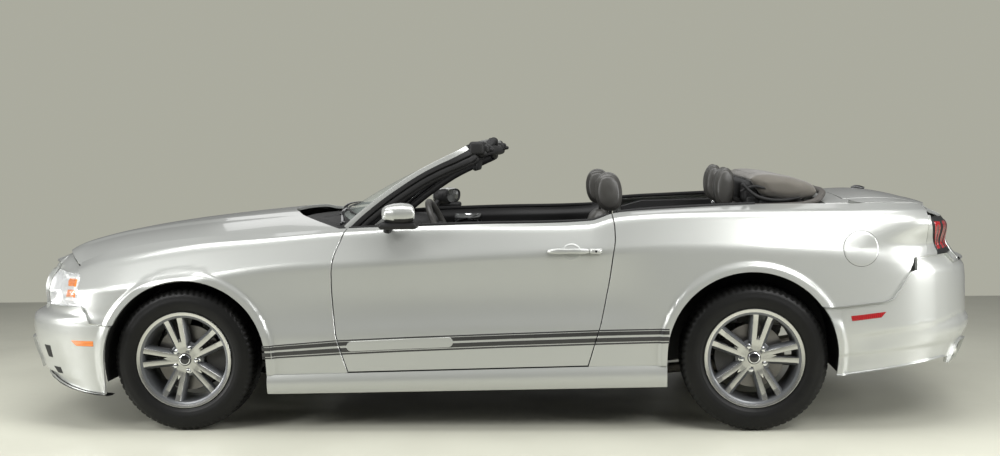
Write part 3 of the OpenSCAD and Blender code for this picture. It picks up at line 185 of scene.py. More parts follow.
soft_lamp("lamp_over", (0.3, 1.0, 4.8), (0, 0, 0), (7.0, 2.6), 280)
soft_lamp("lamp_side", (-0.4, 7.0, 3.8), (0, 0, 0.8), (5.0, 1.6), 6)
soft_lamp("lamp_nose", (3.1, 3.2, 2.6), (2.1, 0.8, 0.5), (1.6, 1.4), 75)
soft_lamp("lamp_front", (5.2, 2.2, 1.5), (2.2, 0.6, 0.6), (1.6, 1.4), 130)
soft_lamp("lamp_tail", (-2.7, 3.3, 2.8), (-1.9, 0.8, 0.7), (2.0, 1.4), 90)
soft_lamp("lamp_rear", (-5.2, 2.4, 1.6), (-2.2, 0.6, 0.7), (1.6, 1.4), 130)
soft_lamp("lamp_back", (0.0, -5.5, 3.8), (0, 0, 0.8), (7.0, 2.0), 40)

SURROUND_SEEN = (2.40, 2.40, 2.03, 1)
SURROUND_LIGHT = (0.93, 0.935, 0.90, 1)
world = bpy.data.worlds.new("surround")
bpy.context.scene.world = world
world.use_nodes = True
world_tree = world.node_tree
background = world_tree.nodes["Background"]
rays = world_tree.nodes.new("ShaderNodeLightPath")
seen = world_tree.nodes.new("ShaderNodeMix")
seen.data_type = "RGBA"
seen.inputs[6].default_value = SURROUND_LIGHT
seen.inputs[7].default_value = SURROUND_SEEN
world_tree.links.new(rays.outputs["Is Camera Ray"], seen.inputs[0])
world_tree.links.new(seen.outputs[2], background.inputs["Color"])
background.inputs["Strength"].default_value = 0.17

FLOOR_X, FLOOR_BACK, FLOOR_FRONT = 14.0, -4.35, 12.0
floor_finish = Finish("floor_paint", (0.62, 0.62, 0.53), 0.42)
floor_finish.tint(1.3, 6, (0.47, 0.47, 0.395), (0.54, 0.54, 0.455))
floor_finish.rough(3.0, 4, 0.25, 0.28)
floor_mesh = bpy.data.meshes.new("floor")
floor_mesh.from_pydata([(-FLOOR_X, FLOOR_BACK, 0), (FLOOR_X, FLOOR_BACK, 0), (FLOOR_X, FLOOR_FRONT, 0),
                        (-FLOOR_X, FLOOR_FRONT, 0)], [], [(0, 1, 2, 3)])
floor_mesh.materials.append(floor_finish.material)
floor = bpy.data.objects.new("floor", floor_mesh)
bpy.context.scene.collection.objects.link(floor)

# Painted body panels: pressed steel skins in silver clearcoat, with a folded edge round each one. They are
# all cut from one surface, so that their shut lines meet. Heights and distances here are in millimetres.
HALF_W = 938.5
NOSE_X, TAIL_X = 2394.0, -2394.0
AXLE_F, AXLE_R = 1441.0, -1279.0
GAP, SEAM, CUT_SEAM = 7.5, 0.8, 2.6
ARCH_F, ARCH_R = (1426.0, 340.0, 395.0), (-1267.0, 362.0, 393.0)
FLARE_H, FLARE_W, FLARE_SOFT = 12.0, 48.0, 22.0
DOOR_F, DOOR_R = 705.0, -626.0
DOOR_MID = (DOOR_F + DOOR_R) / 2
WRAP_F, SQUARE_F = AXLE_F + 209, 2.8
NOSE = np.array([[150, 110], [179, 95], [236, 63], [308, 48], [360, 26], [422, 7],
                 [480, 0], [512, 0], [538, 7], [552, 30], [562, 84], [580, 94], [627, 89], [704, 76],
                 [760, 74], [796, 106]], float)
TAIL = np.array([[240, 130], [263, 108], [292, 71], [342, 51], [416, 21], [452, 0],
                 [486, 0], [510, 15], [686, 17], [740, 22], [770, 44], [809, 80], [858, 111], [947, 150],
                 [990, 185], [1031, 232], [1056, 262]], float)
# Stations of the side from tail to nose: x, then inset and height of the sill edge, low crease, waist, high
# crease, shoulder and top edge
SIDE = np.array([
    [TAIL_X, 34, 262, 14, 480, 22, 620, 26, 760, 58, 985, 250, 1010],
    [AXLE_R - 761, 34, 262, 14, 480, 20, 620, 24, 790, 74, 1020, 186, 1050],
    [AXLE_R - 382, 34, 255, 10, 480, 12, 620, 16, 830, 72, 1026, 192, 1057],
    [AXLE_R, 34, 245, 8, 470, 2, 620, 9, 860, 70, 1030, 196, 1056],
    [AXLE_R + 399, 34, 222, 8, 470, 10, 600, 10, 872, 70, 1026, 180, 1042],
    [AXLE_R + 560, 34, 219, 10, 475, 26, 610, 8, 868, 70, 1014, 150, 1034],
    [AXLE_R + 653, 34, 216, 12, 478, 34, 620, 8, 863, 72, 1000, 132, 1024],
    [AXLE_R + 760, 34, 213, 12, 478, 36, 620, 8, 857, 74, 972, 116, 992],
    [DOOR_MID, 34, 206, 12, 470, 38, 610, 12, 836, 80, 962, 110, 983],
    [DOOR_F - 320, 35, 196, 12, 460, 38, 600, 15, 818, 85, 955, 112, 975],
    [DOOR_F - 40, 36, 190, 14, 450, 36, 590, 19, 807, 92, 948, 150, 966],
    [AXLE_F - 441, 38, 186, 16, 440, 30, 580, 22, 790, 100, 924, 176, 945],
    [AXLE_F, 40, 186, 12, 430, 10, 560, 12, 730, 106, 884, 198, 923],
    [AXLE_F + 409, 40, 186, 14, 430, 16, 560, 30, 690, 116, 812, 238, 861],
    [AXLE_F + 660, 44, 190, 22, 430, 28, 560, 46, 670, 136, 742, 262, 780],
    [NOSE_X, 48, 200, 30, 430, 36, 560, 60, 660, 150, 690, 300, 726]], float)
ROUND_SHARE = (0, 0.3, 0.5, 0.13, 0.26)
# The section's own coordinate where the rounding of each corner starts and ends
ROUND_AT = ((1, 3), (4, 6), (7, 9), (10, 13))
V_TOP = 14


def lerp(a, b, t):
    return a + (b - a) * t


def ease(t):
    t = np.clip(t, 0, 1)
    return t * t * (3 - 2 * t)


def smooth(column, x):
    stations, values = SIDE[:, 0], SIDE[:, column]
    low = np.maximum(np.arange(len(stations)) - 1, 0)
    high = np.minimum(np.arange(len(stations)) + 1, len(stations) - 1)
    slopes = (values[high] - values[low]) / (stations[high] - stations[low])
    k = np.clip(np.searchsorted(stations, x, "right") - 1, 0, len(stations) - 2)
    span = stations[k + 1] - stations[k]
    t = np.clip((x - stations[k]) / span, 0, 1)
    return (values[k] * (1 + 2 * t) * (1 - t) ** 2 + values[k + 1] * t * t * (3 - 2 * t)
            + span * (slopes[k] * t * (1 - t) ** 2 - slopes[k + 1] * t * t * (1 - t)))


def eased_lookup(table, z, half=7.0):
    """A straight-line lookup whose corners are rounded off over a few millimetres."""
    return sum(np.interp(z + d, table[:, 0], table[:, 1]) for d in np.linspace(-half, half, 7)) / 7


def nose_at(z):
    return NOSE_X - eased_lookup(NOSE, z)


def tail_at(z):
    return TAIL_X + eased_lookup(TAIL, z)


def wrap_r(z):
    return AXLE_R - lerp(281, 420, ease((z - 850) / 150))


def square_r(z):
    return lerp(3.2, 5.5, ease((z - 850) / 150))


def wrap(x, z):
    front = np.clip((x - WRAP_F) / (nose_at(z) - WRAP_F), 0, 1)
    back = np.clip((x - wrap_r(z)) / (tail_at(z) - wrap_r(z)), 0, 1)
    return np.where(x > WRAP_F, (1 - front ** SQUARE_F) ** (1 / SQUARE_F),
                    np.where(x < wrap_r(z), (1 - back ** square_r(z)) ** (1 / square_r(z)), 1.0))


def lip(x, z):
    total = 0
    for cx, cz, radius in (ARCH_F, ARCH_R):
        total = total + ease((FLARE_W - np.hypot(x - cx, z - cz) + radius) / FLARE_SOFT)
    return FLARE_H * total


def section(x, v):
    """Half width and height of the body side at station x and section coordinate v, before the ends wrap."""
    x, v = np.broadcast_arrays(np.asarray(x, float), np.asarray(v, float))
    corner = [np.stack([HALF_W - smooth(2 * k + 1, x), smooth(2 * k + 2, x)]) for k in range(6)]
    starts, ends = [None] * 6, [None] * 6
    for k in range(1, 5):
        starts[k] = lerp(corner[k], corner[k - 1], ROUND_SHARE[k])
        ends[k] = lerp(corner[k], corner[k + 1], ROUND_SHARE[k])
    out = np.zeros((2, *x.shape))
    previous, at = corner[0], 0.0
    for k in range(1, 5):
        v0, v1 = ROUND_AT[k - 1]
        line = (v >= at) & (v <= v0)
        out = np.where(line, lerp(previous, starts[k], (v - at) / (v0 - at)), out)
        t = (v - v0) / (v1 - v0)
        bend = starts[k] * (1 - t) ** 2 + corner[k] * 2 * t * (1 - t) + ends[k] * t * t
        out = np.where((v > v0) & (v <= v1), bend, out)
        previous, at = ends[k], v1
    return np.where(v > at, lerp(previous, corner[5], (v - at) / (V_TOP - at)), out)


FINE_V = np.linspace(0, V_TOP, 85)


def raw_y(x, z):
    """Half width of the body side at station x and height z, before the ends wrap."""
    x, z = np.broadcast_arrays(np.asarray(x, float), np.asarray(z, float))
    flat_x, flat_z = x.ravel(), z.ravel()
    widths, heights = section(flat_x[:, None], FINE_V[None, :])
    k = np.clip((heights < flat_z[:, None]).sum(1) - 1, 0, len(FINE_V) - 2)
    row = np.arange(len(k))
    t = np.clip((flat_z - heights[row, k]) / np.maximum(heights[row, k + 1] - heights[row, k], 1e-6), 0, 1)
    return lerp(widths[row, k], widths[row, k + 1], t).reshape(x.shape)


def v_at(x, z):
    heights = section(np.full(FINE_V.shape, float(x)), FINE_V)[1]
    return np.interp(z, heights, FINE_V)


def skin(x, v):
    y, z = section(x, v)
    x = np.broadcast_to(x, y.shape)
    return np.stack([x, y * wrap(x, z) + lip(x, z), z], -1)


def top_y(x):
    return skin(np.asarray(x, float), float(V_TOP))[..., 1]


def top_z(x):
    return skin(np.asarray(x, float), float(V_TOP))[..., 2]


def nose_pt(angle, z):
    """A point of the nose, at an angle in degrees from the middle line."""
    turn = np.radians(np.abs(angle))
    x = WRAP_F + (nose_at(z) - WRAP_F) * np.cos(turn) ** (2 / SQUARE_F)
    y = raw_y(x, z) * np.sin(turn) ** (2 / SQUARE_F) + np.where(turn > 0, lip(x, z), 0)
    return np.stack([x, np.sign(angle) * y, z], -1)


def tail_pt(angle, z):
    turn = np.radians(np.abs(angle))
    x = wrap_r(z) + (tail_at(z) - wrap_r(z)) * np.cos(turn) ** (2 / square_r(z))
    y = raw_y(x, z) * np.sin(turn) ** (2 / square_r(z)) + np.where(turn > 0, lip(x, z), 0)
    return np.stack([x, np.sign(angle) * y, z], -1)


def nose_angle(x, z):
    return np.degrees(np.arccos(np.clip((x - WRAP_F) / (nose_at(z) - WRAP_F), 0, 1) ** (SQUARE_F / 2)))


def tail_angle(x, z):
    return np.degrees(np.arccos(np.clip((x - wrap_r(z)) / (tail_at(z) - wrap_r(z)),
                                        0, 1) ** (square_r(z) / 2)))


def tail_x_at(y, z):
    power = square_r(z)
    share = np.clip(np.abs(y) / raw_y(TAIL_X + 200, z), 0, 1)
    return wrap_r(z) + (tail_at(z) - wrap_r(z)) * (1 - share ** power) ** (1 / power)


DOOR_F_CUT = np.array([[260, 80], [273, 75], [383, 40], [465, 17], [585, 6], [681, 0], [777, 2], [848, 13],
                       [919, 43], [1000, 72]], float)
DOOR_R_CUT = np.array([[290, 134], [308, 127], [413, 94], [507, 64], [601, 44],
                       [719, 20], [836, 2], [906, -9], [976, -6], [1040, 10]], float)
SILL_TOP = np.array([[AXLE_R + 399, 316], [AXLE_R + 780, 310], [AXLE_F - 814, 284], [AXLE_F - 430, 275]],
                    float)


def door_f(z):
    return DOOR_F - eased_lookup(DOOR_F_CUT, z, 16)


def door_r(z):
    return DOOR_R + eased_lookup(DOOR_R_CUT, z, 16)


def sill_z(x):
    return np.interp(x, SILL_TOP[:, 0], SILL_TOP[:, 1])


def body_column(x0, z_low, cut_a, cut_b, share, v_mid=9, low_rows=30, high_rows=26):
    """One column of a side panel: its points from the height z_low to the top edge, between two shut
    lines."""
    v_low = v_at(x0, z_low)
    v = np.concatenate([np.linspace(v_low, v_mid, low_rows, endpoint=False),
                        np.linspace(v_mid, V_TOP, high_rows)])
    x = np.full(v.shape, float(x0))
    for _ in range(3):
        z = skin(x, v)[:, 2]
        x = lerp(cut_a(z), cut_b(z), share)
    return skin(x, v)


def constant(value):
    return lambda z: np.full(np.shape(z), float(value))


EDGE_ROLL, EDGE_FOLD = 1.1, 14.0


def panel_mesh(name, grids, fold=EDGE_FOLD):
    """A pressed skin from grids of points, with its free edges rolled over and folded inwards."""
    mesh = bmesh.new()
    for grid, keep in grids:
        n, m = grid.shape[:2]
        verts = [[mesh.verts.new(grid[i, j] * MM) for j in range(m)] for i in range(n)]
        for i in range(n - 1):
            for j in range(m - 1):
                if keep is None or keep[i, j]:
                    mesh.faces.new((verts[i][j], verts[i + 1][j], verts[i + 1][j + 1], verts[i][j + 1]))
    bmesh.ops.delete(mesh, geom=[v for v in mesh.verts if not v.link_faces], context="VERTS")
    bmesh.ops.dissolve_degenerate(mesh, dist=1e-6, edges=mesh.edges)
    mesh.normal_update()
    if fold:
        rim = [e for e in mesh.edges if e.is_boundary]
        normals = {v: v.normal.copy() for e in rim for v in e.verts}
        outward = {v: Vector() for v in normals}
        for e in rim:
            face = e.link_faces[0]
            away = (e.verts[0].co + e.verts[1].co) / 2 - face.calc_center_median()
            along = (e.verts[1].co - e.verts[0].co).normalized()
            away -= away.dot(along) * along
            for v in e.verts:
                outward[v] += away.normalized()
        for sink, grow in ((EDGE_ROLL, EDGE_ROLL), (fold, 0)):
            made = bmesh.ops.extrude_edge_only(mesh, edges=rim)["geom"]
            rim = [g for g in made if isinstance(g, bmesh.types.BMEdge) and g.is_boundary]
            fresh = {v for e in rim for v in e.verts}
            pairs = {}
            for v in fresh:
                for e in v.link_edges:
                    other = e.other_vert(v)
                    if other in normals and other not in fresh:
                        pairs[v] = other
            new_normals, new_outward = {}, {}
            for v, source in pairs.items():
                normal, away = normals[source], outward[source]
                flat = away - away.dot(normal) * normal
                flat = flat.normalized() if flat.length > 1e-9 else flat
                v.co = source.co - normal * sink * MM + flat * grow * MM
                new_normals[v], new_outward[v] = normal, away
            normals, outward = new_normals, new_outward
    data = bpy.data.meshes.new(name)
    mesh.to_mesh(data)
    mesh.free()
    for polygon in data.polygons:
        polygon.use_smooth = True
    data.set_sharp_from_angle(angle=math.radians(34))
    return data


def place(name, data, finish, body="body", slot="black_plastic", replaces=()):
    """Puts a finished mesh on the car: its material, the body it rides on and the node it stands for."""
    for material in finish if isinstance(finish, (list, tuple)) else [finish]:
        data.materials.append(material.material)
    piece = bpy.data.objects.new(name, data)
    bpy.context.scene.collection.objects.link(piece)
    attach(piece, body)
    if replaces:
        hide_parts(*replaces)
    return piece


SIDES = (("left", 1), ("right", -1))


def mirrored(grid):
    return (grid * np.array([1, -1, 1]))[:, ::-1]


silver = Finish("silver_clearcoat", (0.42, 0.43, 0.41), 0.30, metallic=0.45, Coat_Weight=0.8,
                Coat_Roughness=0.05)
flakes = silver.cells(2600)
silver.rough(900, 1, 0.05, 0.28)
silver.bump(flakes, 0.00002, 0.12)


FENDER_Z0 = 520.0
FENDER_CUT = np.array([[520, 1884], [600, 1930], [640, 1966], [745, 1972], [800, 2030], [861, 2050]], float)


def fender_grid():
    def front(z):
        return eased_lookup(FENDER_CUT, z, 10)

    cx, cz, radius = ARCH_F
    first = math.asin((FENDER_Z0 - cz) / radius)
    columns = []
    x_start = cx + radius * math.cos(first)
    for share in np.linspace(0, 1, 24, endpoint=False):
        columns.append(body_column(lerp(front(FENDER_Z0), x_start, share), FENDER_Z0, front,
                                   constant(x_start), share))
    for turn in np.linspace(first, math.pi, 80):
        x, z = cx + radius * math.cos(turn), cz + radius * math.sin(turn)
        columns.append(body_column(x, z, constant(x), constant(x), 0))
    x_end = cx - radius - 2
    for share in np.linspace(0, 1, 44):
        x = lerp(x_end, door_f(300) + GAP, share)
        columns.append(body_column(x, sill_z(x) + SEAM, constant(x_end), lambda z: door_f(z) + GAP, share))
    return np.array(columns)


def door_grid():
    columns = []
    for share in np.linspace(0, 1, 96):
        x = lerp(door_f(300.0), door_r(300.0), share)
        columns.append(body_column(x, sill_z(x) + GAP, door_f, door_r, share, v_mid=7))
    return np.array(columns)


BUMPER_CUT = np.array([[AXLE_R - 850, 905], [AXLE_R - 783, 868], [AXLE_R - 752, 823], [AXLE_R - 707, 731],
                       [AXLE_R - 663, 662], [AXLE_R - 631, 620], [AXLE_R - 595, 607], [AXLE_R - 382, 586]],
                       float)
QUARTER_END = AXLE_R - 806


def quarter_low(x):
    return np.minimum(np.interp(x, BUMPER_CUT[:, 0], BUMPER_CUT[:, 1]), 806)


def quarter_grid():
    cx, cz, radius = ARCH_R
    columns = []
    x_start = cx + radius + 2
    for share in np.linspace(0, 1, 46):
        x = lerp(door_r(320.0) - GAP, x_start, share)
        columns.append(body_column(x, sill_z(x) + SEAM, lambda z: door_r(z) - GAP, constant(x_start), share))
    last = math.pi - math.asin((590 + CUT_SEAM - cz) / radius)
    for turn in np.linspace(0, last, 80):
        x, z = cx + radius * math.cos(turn), cz + radius * math.sin(turn)
        columns.append(body_column(x, z, constant(x), constant(x), 0))
    x_last = cx + radius * math.cos(last)
    for x in np.linspace(x_last, QUARTER_END, 48)[1:]:
        columns.append(body_column(x, quarter_low(x) + CUT_SEAM, constant(x), constant(x), 0))
    return np.array(columns)


for node, grid in (("fender", fender_grid()), ("quarter", quarter_grid())):
    place(node + "_skin_left", panel_mesh(node, [(grid, None)]), silver, "body", "silver_paint",
          (node + "_left",))
    place(node + "_skin_right", panel_mesh(node, [(mirrored(grid), None)]), silver, "body", "silver_paint",
          (node + "_right",))

HOOD_CROWN = np.array([[1000, 1038], [1332, 1009], [1610, 980], [1834, 950],
                       [2003, 919], [2173, 876], [2241, 846], [2291, 812]], float)
HOOD_FRONT, HOOD_BACK, HOOD_BACK_SIDE, HOOD_CORNER = 846.0, -400.0, -766.0, 612.0
DOME_H = 16.0


def hood_z(x, q):
    crown = sum(np.interp(x + d, HOOD_CROWN[:, 0], HOOD_CROWN[:, 1]) for d in np.linspace(-60, 60, 9)) / 9
    dome = DOME_H * (ease((0.60 - abs(q)) / 0.12) - 1) * 0.5 * ease((AXLE_F + 800 - x) / 200)
    return lerp(crown, top_z(x) + 2, abs(q) ** 3.4) + dome


def hood_pt(s, q):
    front = lerp(AXLE_F + HOOD_FRONT, AXLE_F + HOOD_CORNER, abs(q) ** 2.6)
    back = lerp(AXLE_F + HOOD_BACK, AXLE_F + HOOD_BACK_SIDE, abs(q) ** 2.4)
    x = lerp(front, back, s)
    return np.stack([x, q * (top_y(x) - GAP), hood_z(x, q)], -1)


share, across = np.meshgrid(np.linspace(0, 1, 84) ** 1.1, np.linspace(1, -1, 105), indexing="ij")
hood_skin = hood_pt(share, across)
place("hood_skin", panel_mesh("hood", [(hood_skin, None)]), silver, "hood", "silver_paint", ("hood",))


def deck_crown_z(x, y):
    crown = sum(np.interp(x + d, DECK_CROWN[:, 0], DECK_CROWN[:, 1]) for d in np.linspace(-40, 40, 9)) / 9
    share = np.clip(np.abs(y) / top_y(x), 0, 1)
    return lerp(crown, top_z(x) + 1, share ** 2.4)


DECK_CROWN = np.array([[AXLE_R - 1000, 1036], [AXLE_R - 853, 1050],
                       [AXLE_R - 753, 1080], [AXLE_R - 634, 1094], [AXLE_R - 546, 1090],
                       [AXLE_R - 330, 1072]], float)
LID_Y, LID_X, LID_LOW, DECK_X = 566.0, AXLE_R - 462, 778.0, AXLE_R - 352
LIP_Z = 1046.0


def lid_grid():
    across = np.linspace(1, -1, 73)
    y = across * LID_Y
    rows = []
    for share in np.linspace(0, 1, 28):
        x = lerp(LID_X, tail_x_at(y, np.full(y.shape, LIP_Z)), share)
        rows.append(np.stack([x, y, deck_crown_z(x, y)], -1))
    edge = rows[-1]
    for drop in np.linspace(0, 1, 40)[1:]:
        z = lerp(edge[:, 2], LID_LOW, drop)
        x = lerp(edge[:, 0], tail_x_at(y, z), ease(drop * 5))
        rows.append(np.stack([x, y, z], -1))
    return np.array(rows)


place("lid_skin", panel_mesh("lid", [(lid_grid(), None)]), silver, "trunk_lid", "silver_paint")


def deck_grids():
    across = np.linspace(1, -1, 121)
    front = []
    for x in np.linspace(DECK_X, LID_X + GAP, 14):
        y = across * (top_y(x) - CUT_SEAM)
        front.append(np.stack([np.full(y.shape, x), y, deck_crown_z(x, y)], -1))
    corner_x = tail_x_at(LID_Y + GAP, LIP_Z)
    side = []
    for share in np.linspace(0, 1, 44):
        along = lerp(LID_X + GAP, corner_x, share)
        y = np.linspace(top_y(max(along, QUARTER_END)) - CUT_SEAM, LID_Y + GAP, 16)
        x = lerp(LID_X + GAP, np.minimum(LID_X, tail_x_at(y, np.full(y.shape, LIP_Z))), share)
        side.append(np.stack([x, y, deck_crown_z(x, y)], -1))
    side = np.array(side)
    return [(np.array(front), None), (side, None), (mirrored(side), None)]


place("deck_skin", panel_mesh("deck", deck_grids()), silver, "body", "silver_paint", ("deck_panel",))


def spaced(stops, step):
    """The stops, and evenly spaced values between them no further apart than a step."""
    out = [stops[0]]
    for a, b in zip(stops, stops[1:]):
        parts = max(1, math.ceil(abs(b - a) / step))
        out += [lerp(a, b, k / parts) for k in range(1, parts + 1)]
    return np.array(out)


LAMP_F_LOW, LAMP_SHARE = 604.0, 0.54


def front_edge(z):
    cx, cz, radius = ARCH_F
    arch = cx + np.sqrt(radius ** 2 - np.maximum(z - cz, 0) ** 2) + 1
    return np.where(z <= FENDER_Z0 - 3, arch, eased_lookup(FENDER_CUT, z, 10) + CUT_SEAM)


RISE = np.array([[1876, 0], [1946, 9], [2021, 24], [2097, 44], [2146, 60], [2219, 66], [2394, 66]], float)


def chin_rise(x):
    """How far the bumper's lower edge climbs towards the nose."""
    return np.interp(x, RISE[:, 0], RISE[:, 1])


def front_bumper_grid():
    heights = spaced([782, 745, 704, 650, 604, 580, 562, 552, 538, 519, 515, 480, 422, 380,
                      340, 308, 262, 225, 186], 9)
    half = spaced([1, 0.95, 0.9, 0.82, 0.72, 0.62, 0.54, 0.46, 0.4, 0.3, 0.2, 0.1, 0], 0.016)
    shares = np.concatenate([half, -half[-2::-1]])
    rows = []
    for z in heights:
        start = nose_angle(front_edge(min(z, LAMP_F_LOW)), z)
        row = nose_pt(shares * start, np.full(shares.shape, z))
        row[:, 2] += chin_rise(row[:, 0]) * (1 - ease((z - 186) / 104))
        rows.append(row)
    mid_z = (heights[1:] + heights[:-1])[:, None] / 2
    mid_s = np.abs(shares[1:] + shares[:-1])[None, :] / 2
    open_front = ((mid_z > 562) & (mid_z < 745)) | ((mid_z > 262) & (mid_z < 422))
    keep = np.where(mid_s > LAMP_SHARE, mid_z < LAMP_F_LOW, np.where(mid_s > 0.4, True, ~open_front))
    return np.array(rows), keep


place("front_bumper_skin", panel_mesh("front_bumper", [front_bumper_grid()]), silver, "body", "silver_paint",
      ("front_bumper",))


def rear_bumper_grid():
    cut = [AXLE_R - 382, AXLE_R - 425, AXLE_R - 490, AXLE_R - 560, AXLE_R - 595, AXLE_R - 631, AXLE_R - 663,
           AXLE_R - 707, AXLE_R - 752, QUARTER_END]
    fine_cut = spaced(cut, 8)
    angles = np.concatenate([tail_angle(fine_cut, quarter_low(fine_cut)),
                             spaced([49.9, 41, 37, 26, 22, 10, 0], 1.2)])
    low_x = tail_pt(angles, np.full(angles.shape, 300.0))[:, 0]
    low = np.where(angles > 45, np.interp(low_x, [AXLE_R - 851, AXLE_R - 404], [332, 272]),
                   np.interp(angles, [22, 26, 37, 41], [263, 398, 398, 300]))
    high = np.where(angles > 50, 0, np.where(angles > 41, 806, LID_LOW - GAP - 4))
    for _ in range(4):
        found = quarter_low(tail_pt(angles, np.where(high > 0, high, 640.0))[:, 0])
        high = np.where(angles > 50, found, high)
    cx, cz, radius = ARCH_R
    rows = []
    for share in np.linspace(1, 0, 46):
        z = lerp(low, high, share)
        turned = angles.copy()
        turned[0] = tail_angle(cx - math.sqrt(radius ** 2 - (z[0] - cz) ** 2) - 1, z[0])
        half = tail_pt(turned, z)
        other = half[:-1] * np.array([1, -1, 1])
        rows.append(np.concatenate([other, half[::-1]]))
    rows = np.array(rows)
    low_line = np.interp(-rows[..., 0], [1680, 1853, 1989, 2120], [369, 383, 396, 404])
    high_line = np.interp(-rows[..., 0], [1762, 1943, 2146, 2241, 2390], [462, 485, 511, 534, 560])
    sunk = (7 * ease((low_line - rows[..., 2]) / 16) * ease((rows[..., 2] - low_line + 90) / 80)
            + 8 * ease((high_line - rows[..., 2]) / 22) * ease((rows[..., 2] - high_line + 110) / 90)
            * ease((-1700 - rows[..., 0]) / 120))
    fade = ease((np.abs(rows[..., 1]) - 620) / 60)
    rows[..., 1] -= np.sign(rows[..., 1]) * sunk * fade
    return rows


place("rear_bumper_skin", panel_mesh("rear_bumper", [(rear_bumper_grid(), None)]), silver, "body",
      "silver_paint")


def skirt_grid():
    columns = []
    for share in np.linspace(0, 1, 60):
        x = lerp(ARCH_F[0] - ARCH_F[2] - 2, ARCH_R[0] + ARCH_R[2] + 2, share)
        t = np.linspace(0, 1, 22)
        low = np.interp(x, [AXLE_R + 399, AXLE_F - 459], [214, 184])
        y = HALF_W - 36 + 22 * np.sin(np.pi * np.clip(t * 0.7 + 0.12, 0, 1))
        columns.append(np.stack([np.full(t.shape, x), y, lerp(low, sill_z(x), t)], -1))
    return np.array(columns)


skirt = skirt_grid()
place("skirts", panel_mesh("skirts", [(skirt, None), (mirrored(skirt), None)], 60), silver, "body",
      "silver_paint", ("side_skirts",))


def smooth_line(points, count):
    """A smooth curve through points, with evenly spaced points along it."""
    points = np.asarray(points, float)
    step = np.concatenate([[0], np.cumsum(np.linalg.norm(np.diff(points, axis=0), axis=1))])
    slope = np.gradient(points, step, axis=0)
    at = np.linspace(0, step[-1], count)
    k = np.clip(np.searchsorted(step, at, "right") - 1, 0, len(step) - 2)
    span = (step[k + 1] - step[k])[:, None]
    t = ((at - step[k])[:, None]) / span
    return (points[k] * (1 + 2 * t) * (1 - t) ** 2 + points[k + 1] * t * t * (3 - 2 * t)
            + span * (slope[k] * t * (1 - t) ** 2 - slope[k + 1] * t * t * (1 - t)))


def grid_mesh(name, grid, closed_i=False, closed_j=False, index=None, angle=40):
    """A smooth mesh from a grid of points in millimetres, wrapped round where it closes on itself."""
    n, m = grid.shape[:2]
    ids = np.arange(n * m).reshape(n, m)
    nxt_i = np.roll(ids, -1, 0) if closed_i else ids[1:]
    base = ids if closed_i else ids[:-1]
    if closed_j:
        quads = np.stack([base, nxt_i, np.roll(nxt_i, -1, 1), np.roll(base, -1, 1)], -1)
    else:
        quads = np.stack([base[:, :-1], nxt_i[:, :-1], nxt_i[:, 1:], base[:, 1:]], -1)
    data = bpy.data.meshes.new(name)
    data.from_pydata((grid.reshape(-1, 3) * MM).tolist(), [], quads.reshape(-1, 4).tolist())
    data.polygons.foreach_set("use_smooth", [True] * len(data.polygons))
    if index is not None:
        data.polygons.foreach_set("material_index",
                                  np.broadcast_to(index, quads.shape[:2]).ravel().astype(np.int32))
    data.set_sharp_from_angle(angle=math.radians(angle))
    return data


def joined(name, meshes, angle=40):
    """One mesh from several, keeping each one's material numbers."""
    whole = bmesh.new()
    for data in meshes:
        whole.from_mesh(data)
    out = bpy.data.meshes.new(name)
    whole.to_mesh(out)
    whole.free()
    out.polygons.foreach_set("use_smooth", [True] * len(out.polygons))
    out.set_sharp_from_angle(angle=math.radians(angle))
    return out


# Tyres: moulded black rubber with four grooves round the tread, cut blocks at the shoulders, and plain
# raised rings on the sidewalls. Each is one ring of a section that is carried round the wheel.
WHEEL_AT = {"front_left": (AXLE_F, 786.0, 345.0), "front_right": (AXLE_F, -786.0, 345.0),
            "rear_left": (AXLE_R, 794.0, 345.0), "rear_right": (AXLE_R, -794.0, 345.0)}
TYRE_SIDE = np.array([[0, 345], [40, 345], [66, 344.4], [84, 341.5], [95, 336.5],
                      [103, 329], [109, 319], [113.5, 306], [116.5, 292], [117.2, 280], [115.5, 266],
                      [112, 256], [108.5, 249], [106, 242], [104.5, 236], [97.0, 234.5]])
GROOVES = ((13, 4.2), (40, 4.2))
PITCHES = 68


def tyre_grid():
    half = smooth_line(TYRE_SIDE, 42)
    line = np.concatenate([half[:0:-1] * np.array([-1, 1]), half])
    h, r = line[:, 0], line[:, 1]
    for at, width in GROOVES:
        r = r - 7.0 * ease((width + 1.2 - np.abs(np.abs(h) - at)) / 2.4)
    rings = np.abs(r - 252) < 4
    h = h + np.sign(h) * (1.3 * rings - 0.8 * ease((9 - np.abs(r - 300)) / 2) * (r < 330))
    turns = np.arange(PITCHES * 5) / (PITCHES * 5)
    phase = (turns[:, None] * PITCHES + 0.12 * np.abs(h)[None, :] / 20) % 1
    cut = ease((0.16 - np.abs(phase - 0.5)) / 0.05)
    shoulder = ease((np.abs(h) - 50) / 4) * ease((r - 318) / 9)
    middle = ease((np.abs(h) - 18) / 3) * ease((36 - np.abs(h)) / 3) * 0.5
    radius = r[None, :] - 5.0 * cut * (shoulder + middle)[None, :]
    angle = turns[:, None] * 2 * np.pi
    return np.stack([-radius * np.cos(angle), np.broadcast_to(h, radius.shape), radius * np.sin(angle)], -1)


